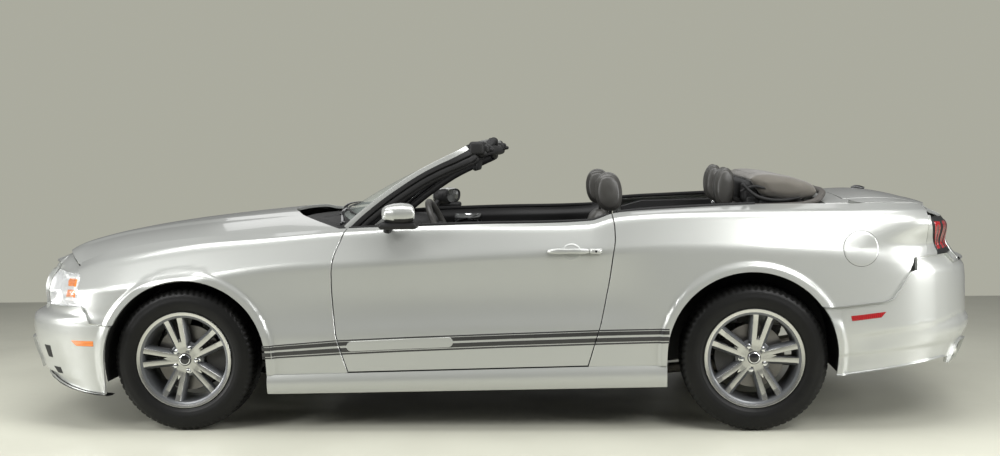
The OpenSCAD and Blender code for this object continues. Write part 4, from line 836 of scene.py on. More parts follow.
rubber = Finish("tyre_rubber", (0.010, 0.010, 0.010), 0.4, Specular_IOR_Level=0.2, Coat_Weight=0.04,
                Coat_Roughness=0.15)
rubber.rough(40, 4, 0.24, 0.34)
rubber.tint(9, 5, (0.003, 0.003, 0.003), (0.008, 0.008, 0.0075))
rubber.bump(rubber.noise(420, 3), 0.0004, 0.35)
tyre = tyre_grid()
for wheel, centre in WHEEL_AT.items():
    grid = tyre + np.array(centre)
    place("tyre_tread_" + wheel, grid_mesh("tyre", grid, closed_i=True, angle=50), rubber, "wheel_" + wheel,
          "tyre_rubber", ("tyre_" + wheel,))

# Wheels: cast alloy with five pairs of spokes, machined bright on their faces and painted grey in the
# pockets. The bowl is spun, each spoke is a loft, and the nuts and the plain cap close the middle.
SPOKES = 5
PAIR_TURN = {"front": 105.0, "rear": 78.0}
FACE_RIM, FACE_MID, FACE_HUB = 101.0, 91.0, 83.0
bright = Finish("machined_alloy", (0.62, 0.62, 0.60), 0.26, metallic=1.0)
bright.rough(40, 3, 0.06, 0.2)
pocket = Finish("pocket_paint", (0.11, 0.115, 0.12), 0.36, metallic=0.45, Coat_Weight=0.4,
                Coat_Roughness=0.15)
pocket.rough(220, 3, 0.15, 0.3)
chrome = Finish("bright_chrome", (0.78, 0.79, 0.80), 0.09, metallic=1.0)
chrome.rough(60, 3, 0.06, 0.06)
gloss_black = Finish("gloss_black", (0.012, 0.012, 0.013), 0.18, Coat_Weight=0.5)
gloss_black.rough(50, 3, 0.1, 0.13)
BRIGHT, POCKET, CHROME, BLACK = range(4)
wheel_finishes = [bright, pocket, chrome, gloss_black]


def spun(profile, count, index, angle=40):
    """A ring from a profile of (axial, radius) points, in wheel axes."""
    profile = np.asarray(profile, float)
    turn = np.arange(count) / count * 2 * np.pi
    grid = np.stack([-profile[None, :, 1] * np.cos(turn)[:, None],
                     np.broadcast_to(profile[:, 0], (count, len(profile))), profile[None, :, 1]
                     * np.sin(turn)[:, None]], -1)
    return grid_mesh("ring", grid, closed_i=True, index=np.asarray(index)[None, :], angle=angle)


def face_height(r):
    return np.interp(r, [0, 60, 120, 175, 205, 222], [FACE_HUB, FACE_HUB, 88.0, FACE_MID + 1, 97.5, FACE_RIM])


def spoke(turn, side):
    radii = np.linspace(38, 219, 34)
    share = (radii - 38) / 181
    middle = side * (11.5 + 23.5 * share ** 1.15)
    slot_half = 10.5 + 2.0 * share
    open_half = 12.0 + 2.5 * share + 12 * ease((radii - 186) / 36) ** 1.5
    slot_half = slot_half + 9 * ease((radii - 196) / 26) ** 1.5
    ledge = 14.0 * ease((radii - 52) / 30)
    top = face_height(radii)
    rows = []
    for k in range(len(radii)):
        s, o, g = slot_half[k], open_half[k], ledge[k]
        across = np.array([-s - 1.5, -s, -s + 1.6, -s * 0.3, o * 0.3, o - 1.8, o,
                           o + g * 0.55, o + g * 0.9, o + g])
        drop = np.array([42, 2.6, 0.0, -0.4, -0.4, 0.0, 2.4, 9.0, 20, 44])
        u = middle[k] + side * across
        rows.append(np.stack([np.full(u.shape, radii[k]), u, top[k] - drop], -1))
    rows = np.array(rows)
    if side < 0:
        rows = rows[:, ::-1]
    angle = math.radians(turn)
    along, over, height = rows[..., 0], rows[..., 1], rows[..., 2]
    x = -(along * math.cos(angle) - over * math.sin(angle))
    z = along * math.sin(angle) + over * math.cos(angle)
    tone = np.array([POCKET, BRIGHT, BRIGHT, BRIGHT, BRIGHT, BRIGHT, POCKET, POCKET, POCKET])
    if side < 0:
        tone = tone[::-1]
    return grid_mesh("spoke", np.stack([x, height, z], -1)[:, ::-1], index=tone[None, ::-1], angle=28)


def bridge(turn):
    """The solid web that joins the two spokes of a pair near the hub."""
    radii = np.linspace(34, 104, 16)
    half = np.interp(radii, [34, 80, 104], [14, 8, 1.2])
    rows = []
    for r, w in zip(radii, half):
        top = face_height(r) + 0.3 - 3.0 * ease((r - 84) / 20)
        across = np.array([-w, -w * 0.4, w * 0.4, w])
        rows.append(np.stack([np.full(4, r), across, np.full(4, top)], -1))
    rows.append(rows[-1] - np.array([0, 0, 36]))
    rows = np.array(rows)
    angle = math.radians(turn)
    x = -(rows[..., 0] * math.cos(angle) - rows[..., 1] * math.sin(angle))
    z = rows[..., 0] * math.sin(angle) + rows[..., 1] * math.cos(angle)
    return grid_mesh("bridge", np.stack([x, rows[..., 2], z], -1)[:, ::-1], index=np.array([[BRIGHT]]),
                     angle=50)


def hex_nut(turn, radius):
    """A closed wheel nut with six flats and a round washer face."""
    count = 24
    a = np.arange(count) / count * 2 * np.pi
    flats = 9.6 / np.cos((a % (np.pi / 3)) - np.pi / 6)
    rings = []
    for h, scale, extra in ((62, 1, 5.0), (66, 1, 4.6), (67, 1, 0), (84, 1, 0), (87, 0.86, 0),
                            (88.4, 0.5, 0), (88.6, 0.01, 0)):
        rr = (flats + extra) * scale if extra < 4 else np.full(count, 14.5)
        rings.append(np.stack([rr * np.cos(a), np.full(count, h), rr * np.sin(a)], -1))
    grid = np.array(rings)
    angle = math.radians(turn)
    grid[..., 0] += -radius * math.cos(angle)
    grid[..., 2] += radius * math.sin(angle)
    return grid_mesh("nut", grid[:, ::-1], closed_j=True, index=np.array([[CHROME]]), angle=35)


def wheel_mesh(turn):
    bowl = [(FACE_RIM - 1.5, 206), (FACE_RIM + 1.5, 211), (FACE_RIM + 3.6, 217), (106.6, 224), (108.2, 229),
            (108.3, 232), (106.5, 233.5), (101, 232.5), (98, 226)]
    inner = [(FACE_RIM - 1.5, 206), (94, 203.5), (80, 201.5), (60, 199.5), (30, 197), (-20, 195), (-90, 196),
             (-104, 205), (-108, 228), (-106, 233), (-100, 226)]
    parts = [spun(bowl[::-1], 144, [POCKET, BRIGHT, BRIGHT, BRIGHT, BRIGHT, BRIGHT, POCKET, POCKET]),
             spun(inner, 144, [POCKET] * (len(inner) - 1)),
             spun([(50, 86), (59, 84), (61, 80), (61.5, 30)][::-1], 72, [POCKET] * 3),
             spun([(78, 46), (FACE_HUB - 1, 43.5), (FACE_HUB, 41), (FACE_HUB, 31),
                   (FACE_HUB - 2, 29.5)][::-1], 72,
                  [POCKET, BRIGHT, BRIGHT, BRIGHT][::-1]),
             spun([(FACE_HUB - 3, 29.4), (87, 28.6), (90, 26), (91.5, 22), (91.0, 17),
                   (92.6, 12), (93.2, 0.05)][::-1], 60,
                  [BLACK, BLACK, CHROME, BLACK, BLACK, BLACK][::-1])]
    for k in range(SPOKES):
        pair = turn + 360 / SPOKES * k
        parts += [spoke(pair, 1), spoke(pair, -1), bridge(pair), hex_nut(pair + 180 / SPOKES, 57.2)]
    return joined("wheel", parts, 32)


for wheel, centre in WHEEL_AT.items():
    data = wheel_mesh(PAIR_TURN[wheel.split("_")[0]])
    sense = 1 if wheel.endswith("left") else -1
    data.transform(Matrix.Diagonal((1, sense, 1, 1)))
    if sense < 0:
        data.flip_normals()
    data.transform(Matrix.Translation(Vector(centre) * MM))
    place("wheel_" + wheel + "_alloy", data, wheel_finishes, "wheel_" + wheel, "wheel_alloy",
          ("rim_" + wheel,))


def on_side(x, z):
    x, z = np.broadcast_arrays(np.asarray(x, float), np.asarray(z, float))
    v = np.array([v_at(a, b) for a, b in zip(x.ravel(), z.ravel())]).reshape(x.shape)
    return skin(x, v)


def on_nose(x, z):
    return nose_pt(nose_angle(x, z), z)


def on_tail(x, z):
    return tail_pt(tail_angle(x, z), z)


def lifted(grid, lift):
    """A grid moved out along its own normals."""
    normal = np.cross(np.gradient(grid, axis=0), np.gradient(grid, axis=1))
    lift = np.broadcast_to(lift, grid.shape[:2])[..., None]
    return grid + normal / np.maximum(np.linalg.norm(normal, axis=-1, keepdims=True), 1e-9) * lift


def patch(surface, a, b, low, high, cols, rows, lift=0.0):
    """A field of the body surface between two cuts in x and two heights, each a function."""
    s, t = np.linspace(0, 1, cols)[:, None], np.linspace(0, 1, rows)[None, :]
    z = np.full((cols, rows), 400.0)
    for _ in range(4):
        x = lerp(a(z), b(z), s)
        z = lerp(low(x), high(x), t)
    return lifted(surface(x, z), lift)


def both_sides(name, node_grid, finish, slot, bodies=("body", "body"), replaces=(), fold=1.0):
    """A left piece and its mirror image, on the bodies that carry them."""
    for side, body in zip(("left", "right"), bodies):
        grid = node_grid if side == "left" else mirrored(node_grid)
        place(name + "_" + side, panel_mesh(name, [(grid, None)], fold), finish, body, slot, replaces)
        replaces = ()


# Doors: a steel shell behind each outer skin, with rubber along the top, and a moulded card with an armrest,
# a pocket and a chromed handle on its cabin side.
DOOR_IN = 776.5
trim_black = Finish("trim_black", (0.013, 0.013, 0.013), 0.55, Specular_IOR_Level=0.28)
trim_black.rough(90, 4, 0.22, 0.44)
trim_black.bump(trim_black.cells(900), 0.0003, 0.35)
seal_rubber = Finish("seal_rubber", (0.012, 0.012, 0.012), 0.62, Specular_IOR_Level=0.28)
seal_rubber.rough(60, 3, 0.2, 0.5)
door_bodies = ("door_left", "door_right")
door_outer = door_grid()
cols, rows = door_outer.shape[:2]
low_z, high_z = door_outer[:, :1, 2], door_outer[:, -1:, 2]
level = np.clip((door_outer[..., 2] - low_z) / (high_z - low_z), 0, 1)
from_front = np.linspace(0, 1, cols)[:, None]
door_card = np.stack([door_outer[..., 0] + lerp(-24, 34, from_front), np.full(level.shape, DOOR_IN),
                      lerp(low_z + 26, high_z - 8, level)], -1)


def border(grid):
    return np.concatenate([grid[:-1, 0], grid[-1, :-1], grid[:0:-1, -1], grid[0, :0:-1]])


def window(value, low, high, soft):
    return ease((value - low) / soft + 0.5) * ease((high - value) / soft + 0.5)


outer_ring, inner_ring = border(lifted(door_outer, -12.5)), border(door_card)
on_top = border(np.broadcast_to((level > 0.985)[..., None], level.shape + (1,)))[:, 0] > 0.5
ring_rows = []
for share in (0.0, 0.1, 0.12, 0.2, 0.22, 0.62, 0.64, 0.86, 1.0):
    ring = lerp(outer_ring, inner_ring, share)
    ring[:, 2] -= np.where(on_top, 9.0 * (0.11 < share < 0.21) - 9.0 * (share == 0.0), 0)
    middle = ring.mean(0)
    inward = (middle - ring) * np.array([1, 0, 1])
    inward /= np.linalg.norm(inward, axis=1, keepdims=True)
    ring_rows.append(ring + inward * (5.0 if 0.21 < share < 0.63 else 0.0) * ~on_top[:, None])
shell = np.array(ring_rows)[:, ::-1]
ring_tone = np.repeat([[0]] * 6 + [[1]] * 2, shell.shape[1], 1)
ring_tone = np.where(np.logical_or(on_top, np.roll(on_top, -1))[::-1][None, :], 1, ring_tone)
x, z = door_card[..., 0], door_card[..., 2]
armrest = window(x, -330, 560, 120) * (window(z, 640, 702, 34) * 52 + window(z, 560, 690, 90) * 14)
top_roll = 16 * ease((z - 880) / 60) * (1 - 0.8 * ease((level - 0.94) / 0.06))
pocket_lip = window(x, -120, 500, 60) * window(z, 372, 470, 12) * 22
speaker = 9 * ease((96 - np.hypot(x - 500, z - 560)) / 8) * (1 - ease((84 - np.hypot(x - 500, z - 560)) / 6)
                                                             * 0.7)
rim_fade = ease(np.minimum(np.minimum(from_front, 1 - from_front) * 24, np.minimum(level, 1 - level) * 14))
card = door_card - np.stack([0 * x, (armrest + top_roll + pocket_lip + speaker) * rim_fade, 0 * x], -1)
for side, sense in SIDES:
    turn = np.array([1, sense, 1])
    place("door_skin_" + side, panel_mesh("door",
        [(door_outer if sense > 0 else mirrored(door_outer), None)]), silver,
          "door_" + side, "silver_paint", ("door_" + side,))
    place("door_shell_" + side, grid_mesh("shell", (shell * turn)[:, ::sense], closed_j=True,
                                          index=ring_tone[:, ::sense]),
          [silver, seal_rubber], "door_" + side, "body_steel")
    place("door_card_" + side, grid_mesh("card", (card * turn)[::-sense], angle=50), trim_black,
          "door_" + side, "black_plastic")

# Inner door handles: a bright pull in a shallow cup, one on each door card. The real one is chromed plastic
# that is screwed on from the cabin side.
cup = patch(lambda a, b: np.stack([a, np.full(a.shape, DOOR_IN - 13.0), b], -1), constant(296),
            constant(138), constant(893), constant(944), 24, 10)
cup[..., 1] -= 9 * np.sin(np.pi * np.linspace(0, 1, 24))[:, None] * np.sin(np.pi
        * np.linspace(0, 1, 10))[None, :] + 3
both_sides("door_pull", mirrored(cup) * np.array([1, -1, 1]), chrome, "wheel_alloy", door_bodies, fold=9)

# Stripes: black film in four lines along each side, from one wheel opening to the other, with a plain silver
# lozenge laid over them ahead of the front door cut. They lie half a millimetre proud of the paint.
stripe_black = Finish("stripe_film", (0.016, 0.016, 0.017), 0.3, Coat_Weight=0.6)
stripe_black.rough(35, 4, 0.16, 0.22)
STRIPE_TOP = np.array([[-882, 492], [-562, 486], [-93, 472], [382, 456], [694, 443], [1018, 418]], float)
STRIPE_LOW = np.array([[-873, 424], [-561, 416], [-91, 403], [384, 386], [671, 373], [1010, 355]], float)
STRIPE_LINES = ((0.0, 0.10), (0.17, 0.45), (0.61, 0.86), (0.92, 1.0))
STRIPE_SPANS = (("fender", constant(1046), lambda z: door_f(z) + GAP, "body", "body"),
                ("door", door_f, door_r, "door_left", "door_right"),
                ("quarter", lambda z: door_r(z) - GAP, constant(-884), "body", "body"))


def stripe_z(share):
    return lambda x: lerp(np.interp(x, STRIPE_LOW[:, 0], STRIPE_LOW[:, 1]),
                          np.interp(x, STRIPE_TOP[:, 0], STRIPE_TOP[:, 1]), share)


for span, start, end, left_body, right_body in STRIPE_SPANS:
    for number, (low, high) in enumerate(STRIPE_LINES):
        band = patch(on_side, start, end, stripe_z(low), stripe_z(high), 40, 4, 0.6)
        both_sides("stripe_" + span + "_" + str(number), band, stripe_black, "black_plastic",
                   (left_body, right_body), fold=0.5)


LOZENGE_F, LOZENGE_R, LOZENGE_H = 640.0, 132.0, 23.0


def lozenge_half(x):
    past_end = np.abs(x - (LOZENGE_F + LOZENGE_R) / 2) - (LOZENGE_F - LOZENGE_R) / 2 + LOZENGE_H
    return np.sqrt(np.maximum(LOZENGE_H ** 2 - np.maximum(past_end, 0) ** 2, 0.3))


ends = LOZENGE_H * (1 - np.cos(np.linspace(0, np.pi / 2, 12)))
lozenge_x = np.concatenate([LOZENGE_F - ends, np.linspace(LOZENGE_F - LOZENGE_H,
                                                          LOZENGE_R + LOZENGE_H, 30)[1:-1],
                            LOZENGE_R + ends[::-1]])[:, None]
lozenge_z = stripe_z(0.53)(lozenge_x) + lozenge_half(lozenge_x) * np.linspace(-1, 1, 7)[None, :]
lozenge = lifted(on_side(lozenge_x + 0 * lozenge_z, lozenge_z), 1.3)
both_sides("lozenge", lozenge, silver, "silver_paint", door_bodies, fold=0.9)


def slab(lo, hi, radius, rings=3):
    """A block with rounded edges, from its two corners in millimetres."""
    mesh = bmesh.new()
    bmesh.ops.create_cube(mesh, size=1)
    lo, hi = Vector(lo), Vector(hi)
    for vert in mesh.verts:
        vert.co = Vector(((c + 0.5) * (b - a) + a for c, a, b in zip(vert.co, lo, hi))) * MM
    bmesh.ops.bevel(mesh, geom=mesh.edges[:] + mesh.verts[:], offset=radius * MM, segments=rings, profile=0.5,
                    affect="EDGES", clamp_overlap=True)
    data = bpy.data.meshes.new("slab")
    mesh.to_mesh(data)
    mesh.free()
    return joined("slab", [data], 40)


def ring_shape(half_w, half_h, count=16, power=2.0):
    a = np.arange(count) / count * 2 * np.pi
    c, s = np.cos(a), np.sin(a)
    return np.stack([half_w * np.sign(c) * np.abs(c) ** (2 / power), half_h * np.sign(s)
                     * np.abs(s) ** (2 / power)], -1)


def swept(path, shape, up=(0, 0, 1), scale=None, count=None, index=None, angle=40):
    """A closed bar that carries a shape along a path."""
    path = smooth_line(path, count) if count else np.asarray(path, float)
    along = np.gradient(path, axis=0)
    along /= np.linalg.norm(along, axis=1, keepdims=True)
    across = np.cross(along, np.asarray(up, float))
    across /= np.linalg.norm(across, axis=1, keepdims=True)
    above = np.cross(across, along)
    scale = np.ones(len(path)) if scale is None else np.interp(np.linspace(0, 1, len(path)),
                                                               np.linspace(0, 1, len(scale)),
                                                                scale)
    grid = path[:, None] + (across[:, None] * shape[None, :, :1] + above[:, None]
                            * shape[None, :, 1:]) * scale[:, None, None]
    first, last = path[0] + (grid[0] - path[0]) * 0.01, path[-1] + (grid[-1] - path[-1]) * 0.01
    grid = np.concatenate([first[None], grid, last[None]])
    return grid_mesh("bar", grid, closed_j=True, index=index, angle=angle)


def mirror_mesh(data):
    copy = data.copy()
    copy.transform(Matrix.Diagonal((1, -1, 1, 1)))
    copy.flip_normals()
    return copy


# Headlamps: a chromed bowl behind a clear moulded lens, with one round lamp and amber reflectors at its
# side. Each unit is bolted in from behind and sits flush with the bumper and the fender.
clear_lens = Finish("lamp_lens", (0.86, 0.88, 0.9), 0.06, Transmission_Weight=0.92, IOR=1.3, Alpha=1.0)
clear_lens.rough(40, 2, 0.05, 0.03)
clear_lens.feed("Alpha", clear_lens.noise(12, 2) * 0.06 + 0.30)
amber = Finish("amber_reflector", (0.75, 0.20, 0.02), 0.22, Coat_Weight=1.0, Coat_Roughness=0.05)
# The ribs are bumped, and the colour follows them as well. This is painted shade in the grooves and a painted
# highlight on the crests.
amber_ribs_and_shade = (amber.axes()[2] * 900).sin() * 0.5 + 0.5
amber.feed("Base Color", amber.mix(amber_ribs_and_shade, (0.45, 0.09, 0.01), (0.80, 0.25, 0.03)))
amber.bump(amber_ribs_and_shade, 0.0012, 0.5)
LAMP_Z = (605.5, 756.0)


def lamp_grid(cols, rows, sink):
    z = np.broadcast_to(np.linspace(*LAMP_Z, rows)[None, :], (cols, rows))
    s = np.linspace(0, 1, cols)[:, None]
    inner_edge = LAMP_SHARE * nose_angle(front_edge(LAMP_F_LOW), LAMP_F_LOW) + 0.4
    outer_x = eased_lookup(FENDER_CUT, z, 10) + CUT_SEAM + 2
    grid = nose_pt(lerp(nose_angle(outer_x, z), inner_edge, s), z)
    t = np.linspace(0, 1, rows)[None, :]
    well = np.clip(np.minimum(np.minimum(s, 1 - s) * 9, np.minimum(t, 1 - t) * 5), 0, 1) ** 0.7
    return lifted(grid, -0.5) + np.array([-1.0, -0.75, 0]) * (3 + sink * well)[..., None], s, t


lens, _, _ = lamp_grid(30, 18, -3.0)
bowl, s, t = lamp_grid(56, 40, 38.0)
bowl += np.array([1.0, 0.75, 0]) * (30 * (1 - ease((s - 0.30) / 0.10)) * ease(s / 0.06)
                                    * ease(np.minimum(t, 1 - t) / 0.12))[..., None]
centre_s, centre_t = 0.50, 0.52
round_lamp = np.hypot((s - centre_s) * 1.55, t - centre_t)
bowl += np.array([-1.0, -0.35, 0]) * (22 * ease((0.40 - round_lamp) / 0.34) - 9
                                      * ease((0.06 - np.abs(round_lamp - 0.42)) / 0.05)
                                      )[..., None]
bowl_faces = np.where(((s < 0.27) & (s > 0.02) & (t > 0.28) & (t < 0.84))[:-1, :-1]
                      & (abs(t[:, :-1] - 0.55) > 0.05), 1, 0)
bowl_faces = np.where((round_lamp < 0.10)[:-1, :-1], 2, bowl_faces)
lamp_eye = Finish("lamp_eye", (0.9, 0.92, 0.95), 0.08, metallic=0.2)
lamp_eye.rough(90, 2, 0.06, 0.05)
reflector = Finish("lamp_chrome", (0.80, 0.81, 0.80), 0.24, metallic=0.5)
reflector.rough(70, 3, 0.12, 0.18)
for side, sense in SIDES:
    turn = np.array([1, sense, 1])
    place("lamp_bowl_" + side, grid_mesh("bowl", (bowl * turn)[::sense], index=bowl_faces[::sense], angle=30),
          [reflector, amber, lamp_eye], "body", "lamp_lens")
    place("lamp_lens_" + side, panel_mesh("lens", [(lens if sense > 0 else mirrored(lens), None)], 4),
          clear_lens, "body", "lamp_lens", ("headlamps",) if sense > 0 else ())

# Side markers: amber in the front bumper and red in the rear one. Each is a ribbed lens of moulded plastic
# that clips into a hole of the bumper's cover and stands a little proud of it.
red = Finish("red_reflector", (0.38, 0.008, 0.012), 0.2, Coat_Weight=1.0, Coat_Roughness=0.05)
# The ribs are bumped, and the colour follows them as well. This is painted shade in the grooves and a painted
# highlight on the crests.
red_ribs_and_shade = (red.axes()[0] * 700).sin() * 0.5 + 0.5
red.feed("Base Color", red.mix(red_ribs_and_shade, (0.16, 0.003, 0.005), (0.38, 0.010, 0.014)))
red.bump(red_ribs_and_shade, 0.001, 0.4)
front_marker = patch(on_nose, lambda z: 2004 + (z - 443) * 1.2, constant(1880), constant(417), lambda x: 441
                     + 0 * x, 26, 8, 1.6)
both_sides("front_marker", front_marker, amber, "lamp_lens", fold=4)
rear_marker = patch(on_tail, lambda z: -1722 + (z - 524) * 0.2, lambda z: -1845 - (z - 524) * 0.9,
                    lambda x: np.interp(x, [-1859, -1728], [537, 523]),
                    lambda x: np.interp(x, [-1882, -1719], [561, 544]), 26, 8, 1.6)
both_sides("rear_marker", rear_marker, red, "red_lens", fold=4)

# Tail lamps: three upright red lenses in a black bezel each side, beside the quarter's painted corner. Each
# unit is moulded in one and bolted through the tail panel.
LAMP_EDGE = np.array([[812, -2146], [822, -2149], [902, -2117], [978, -2100], [1000, -2100]], float)


def lid_angle(z):
    return np.degrees(np.arcsin(np.clip((LID_Y + GAP) / raw_y(np.full(np.shape(z), TAIL_X + 200), z), 0, 1)
                                ** (square_r(z) / 2)))


def tail_field(first, last, z_low, z_high, cols, rows):
    z = np.broadcast_to(np.linspace(z_low, z_high, rows)[None, :], (cols, rows))
    return tail_pt(lerp(first(z), last(z), np.linspace(0, 1, cols)[:, None]), z)


def lamp_angle(z):
    return tail_angle(np.interp(z, LAMP_EDGE[:, 0], LAMP_EDGE[:, 1]), z)


corner = tail_field(lambda z: tail_angle(np.full(z.shape, QUARTER_END - CUT_SEAM), z),
                    lambda z: lamp_angle(z) + 0.25, 812, 1000, 18, 34)
both_sides("tail_corner", corner, silver, "silver_paint", fold=9)
tail_lens = tail_field(lambda z: lamp_angle(z) - 0.25, lambda z: lid_angle(z), 817, 992, 64, 40)
s, t = np.linspace(0, 1, 64)[:, None], np.linspace(0, 1, 40)[None, :]
bars = window((s * 3) % 1, 0.16, 0.84, 0.16) * window(t, 0.09, 0.87, 0.07)
hollow = window((s * 3) % 1, 0.40, 0.60, 0.12) * window(t, 0.2, 0.76, 0.08)
tail_lens = lifted(tail_lens, -3 + 4.5 * bars - 3.5 * hollow)
tone = np.where(bars > 0.5, 1, 0)
tone = np.where(hollow > 0.5, 2, tone)[:-1, :-1]
deep_red = Finish("deep_red", (0.06, 0.002, 0.004), 0.12, Coat_Weight=1.0)
deep_red.feed("Base Color", deep_red.mix((deep_red.axes()[2] * 520).sin() * 0.5 + 0.5,
                                         (0.03, 0.001, 0.002), (0.16, 0.004, 0.008)))
for side, sense in SIDES:
    turn = np.array([1, sense, 1])
    data = grid_mesh("tail_lens", (tail_lens * turn)[::sense], index=tone[::sense], angle=50)
    place("tail_lens_" + side, data, [trim_black, red, deep_red], "body", "red_lens", ("tail_lamps",)
          if sense > 0 else ())
    back = tail_field(lambda z: tail_angle(np.full(z.shape, QUARTER_END - CUT_SEAM), z),
                      lambda z: lid_angle(z), 812, 1000, 20, 12)
    place("tail_box_" + side, grid_mesh("tail_box", (lifted(back, -16) * turn)[::sense]), trim_black)

# Grille and lower intake: black plastic frames with a fine net of slats, each moulded in one piece and
# clipped behind the bumper's opening.
GRILLES = ((566, 741, NOSE_X - 150, 440, 9, 34), (266, 418, NOSE_X - 130, 470, 7, 36))
for number, (z_low, z_high, face_x, half, across_count, upright_count) in enumerate(GRILLES):
    parts = []
    frame_path = [(face_x - 4, y, z) for y, z in ((-half, z_low), (half, z_low),
                                                  (half, z_high), (-half, z_high))]
    for a, b in zip(frame_path, frame_path[1:] + frame_path[:1]):
        parts.append(slab(np.minimum(a, b) - np.array([12, 7, 7]), np.maximum(a, b)
                          + np.array([4, 7, 7]), 2.5))
    for k in range(1, across_count + 1):
        z = lerp(z_low, z_high, k / (across_count + 1))
        parts.append(swept([(face_x - 6, y, z + 2.2 * math.sin(y / half * 40))
                            for y in np.linspace(-half, half, 60)],
                           ring_shape(1.6, 6, 8), (1, 0, 0)))
    for k in range(1, upright_count + 1):
        y = lerp(-half, half, k / (upright_count + 1))
        parts.append(swept([(face_x - 6, y, z_low),
                            (face_x - 6, y, (z_low + z_high) / 2), (face_x - 6, y, z_high)],
                           ring_shape(1.6, 5, 8), (1, 0, 0)))
    parts.append(slab((face_x - 26, -half, z_low), (face_x - 20, half, z_high), 1.5))
    place("grille_net_" + str(number), joined("grille", parts), trim_black, "body", "black_plastic",
          ("grille",) if number == 0 else ())

# Chin: an edge of moulded black plastic under the front bumper, from one wheel to the other. It is screwed
# to the lower lip of the bumper's cover.
chin_angles = np.linspace(1, -1, 121)
chin_rows = []
for z, out in ((187.5, -14), (186.6, 0), (184, 5), (179, 7), (174, 5), (172, -4), (173, -30), (180, -44)):
    start = nose_angle(front_edge(187.0), 187.0)
    points = nose_pt(chin_angles * start, np.full(chin_angles.shape, 187.0))
    sense = np.gradient(points, axis=0)
    normal = np.stack([-sense[:, 1], sense[:, 0], 0 * sense[:, 0]], -1)
    normal /= np.linalg.norm(normal, axis=1, keepdims=True)
    points = points + normal * out
    points[:, 2] = 187 + (z - 187) * (1 + 0.7 * ease((points[:, 0] - 1950) / 200)) + chin_rise(points[:, 0])
    chin_rows.append(points)
place("chin_edge", grid_mesh("chin", np.array(chin_rows)[:, ::-1], angle=60), trim_black)

# Door handles: painted grips over a round scoop that is pressed into the skin, with a lock barrel behind.
# Each is screwed on from inside the door.
HANDLE_X, HANDLE_Z = (-323.0, -566.0), 857.0
grip_x = np.linspace(HANDLE_X[0], HANDLE_X[1] + 40, 40)
grip_arc = np.sin(np.pi * np.linspace(0, 1, 40)) ** 0.6
grip_base = on_side(grip_x, np.full(40, HANDLE_Z))
grip_path = grip_base + np.stack([0 * grip_x, 3 + 27 * grip_arc, 2 * grip_arc], -1)
grip = swept(grip_path, ring_shape(7.5, 12.5, 20, 2.6), (0, 0, 1),
             [0.6, 1, 1.08, 1.0, 0.92, 1.0, 1.08, 1, 0.6])
scoop_s, scoop_a = np.meshgrid(np.linspace(0.02, 1, 12), np.linspace(0, 2 * np.pi, 49)[:-1], indexing="ij")
scoop_x, scoop_z = -433 + 47 * scoop_s * np.cos(scoop_a), 852 + 40 * scoop_s * np.sin(scoop_a)
scoop = on_side(scoop_x, scoop_z) + np.stack([0 * scoop_s, 1.2 * ease((1 - scoop_s) / 0.15) - 13
                                              * ease((0.88 - scoop_s) / 0.75), 0 * scoop_s], -1)
scoop_mesh = grid_mesh("scoop", scoop, closed_j=True, angle=60)
tail_block = on_side(np.array([-548.0]), np.array([HANDLE_Z]))[0]
tail_end = swept([tail_block + np.array([d, o, 0]) for d,
                  o in ((24, 0), (20, 15), (0, 19), (-16, 15), (-20, 0))],
                 ring_shape(10, 12.5, 20, 2.6), (0, 0, 1), count=24)
lock = spun([(0, 0.1), (0, 4.0), (-1.5, 6.6), (-6, 7)][::-1], 24, [0, 0, 0])
lock.transform(Matrix.Translation(Vector(tail_block + np.array([0, 29.4, 0])) * MM))
for side, body in zip(("left", "right"), door_bodies):
    for name, data, finish in (("grip", grip, silver), ("scoop", scoop_mesh, silver),
                               ("grip_tail", tail_end, silver), ("lock", lock, gloss_black)):
        data = data.copy() if side == "left" else mirror_mesh(data)
        place("door_" + name + "_" + side, data, finish, body, "silver_paint"
              if finish is silver else "black_plastic")

# Fuel flap: a round door of painted steel on the left rear quarter only, hinged behind the skin, with a
# thin dark seam of rubber round it.
FLAP_AT, FLAP_R = (-1766.0, 855.0), 81.0
flap_s, flap_a = np.meshgrid(np.array([0.02, 0.3, 0.6, 0.85, 0.95, 0.985, 1.0, 1.0]),
                             np.linspace(0, 2 * np.pi, 97)[:-1], indexing="ij")
flap = on_side(FLAP_AT[0] + FLAP_R * flap_s * np.cos(flap_a), FLAP_AT[1] + FLAP_R * flap_s * np.sin(flap_a))
flap[..., 1] += np.array([1.6, 1.6, 1.6, 1.6, 1.5, 1.0, 0.2, -2])[:, None]
place("fuel_flap", grid_mesh("flap", flap, closed_j=True, angle=60), silver, "body", "silver_paint")
seam_s = np.array([0.995, 1.0, 1.02, 1.03])
seam = on_side(FLAP_AT[0] + FLAP_R * seam_s[:, None] * np.cos(flap_a[:1]), FLAP_AT[1] + FLAP_R
               * seam_s[:, None] * np.sin(flap_a[:1]))
seam[..., 1] += np.array([-1, 0.35, 0.35, -1])[:, None]
place("fuel_flap_seam", grid_mesh("flap_seam", seam, closed_j=True), seal_rubber)

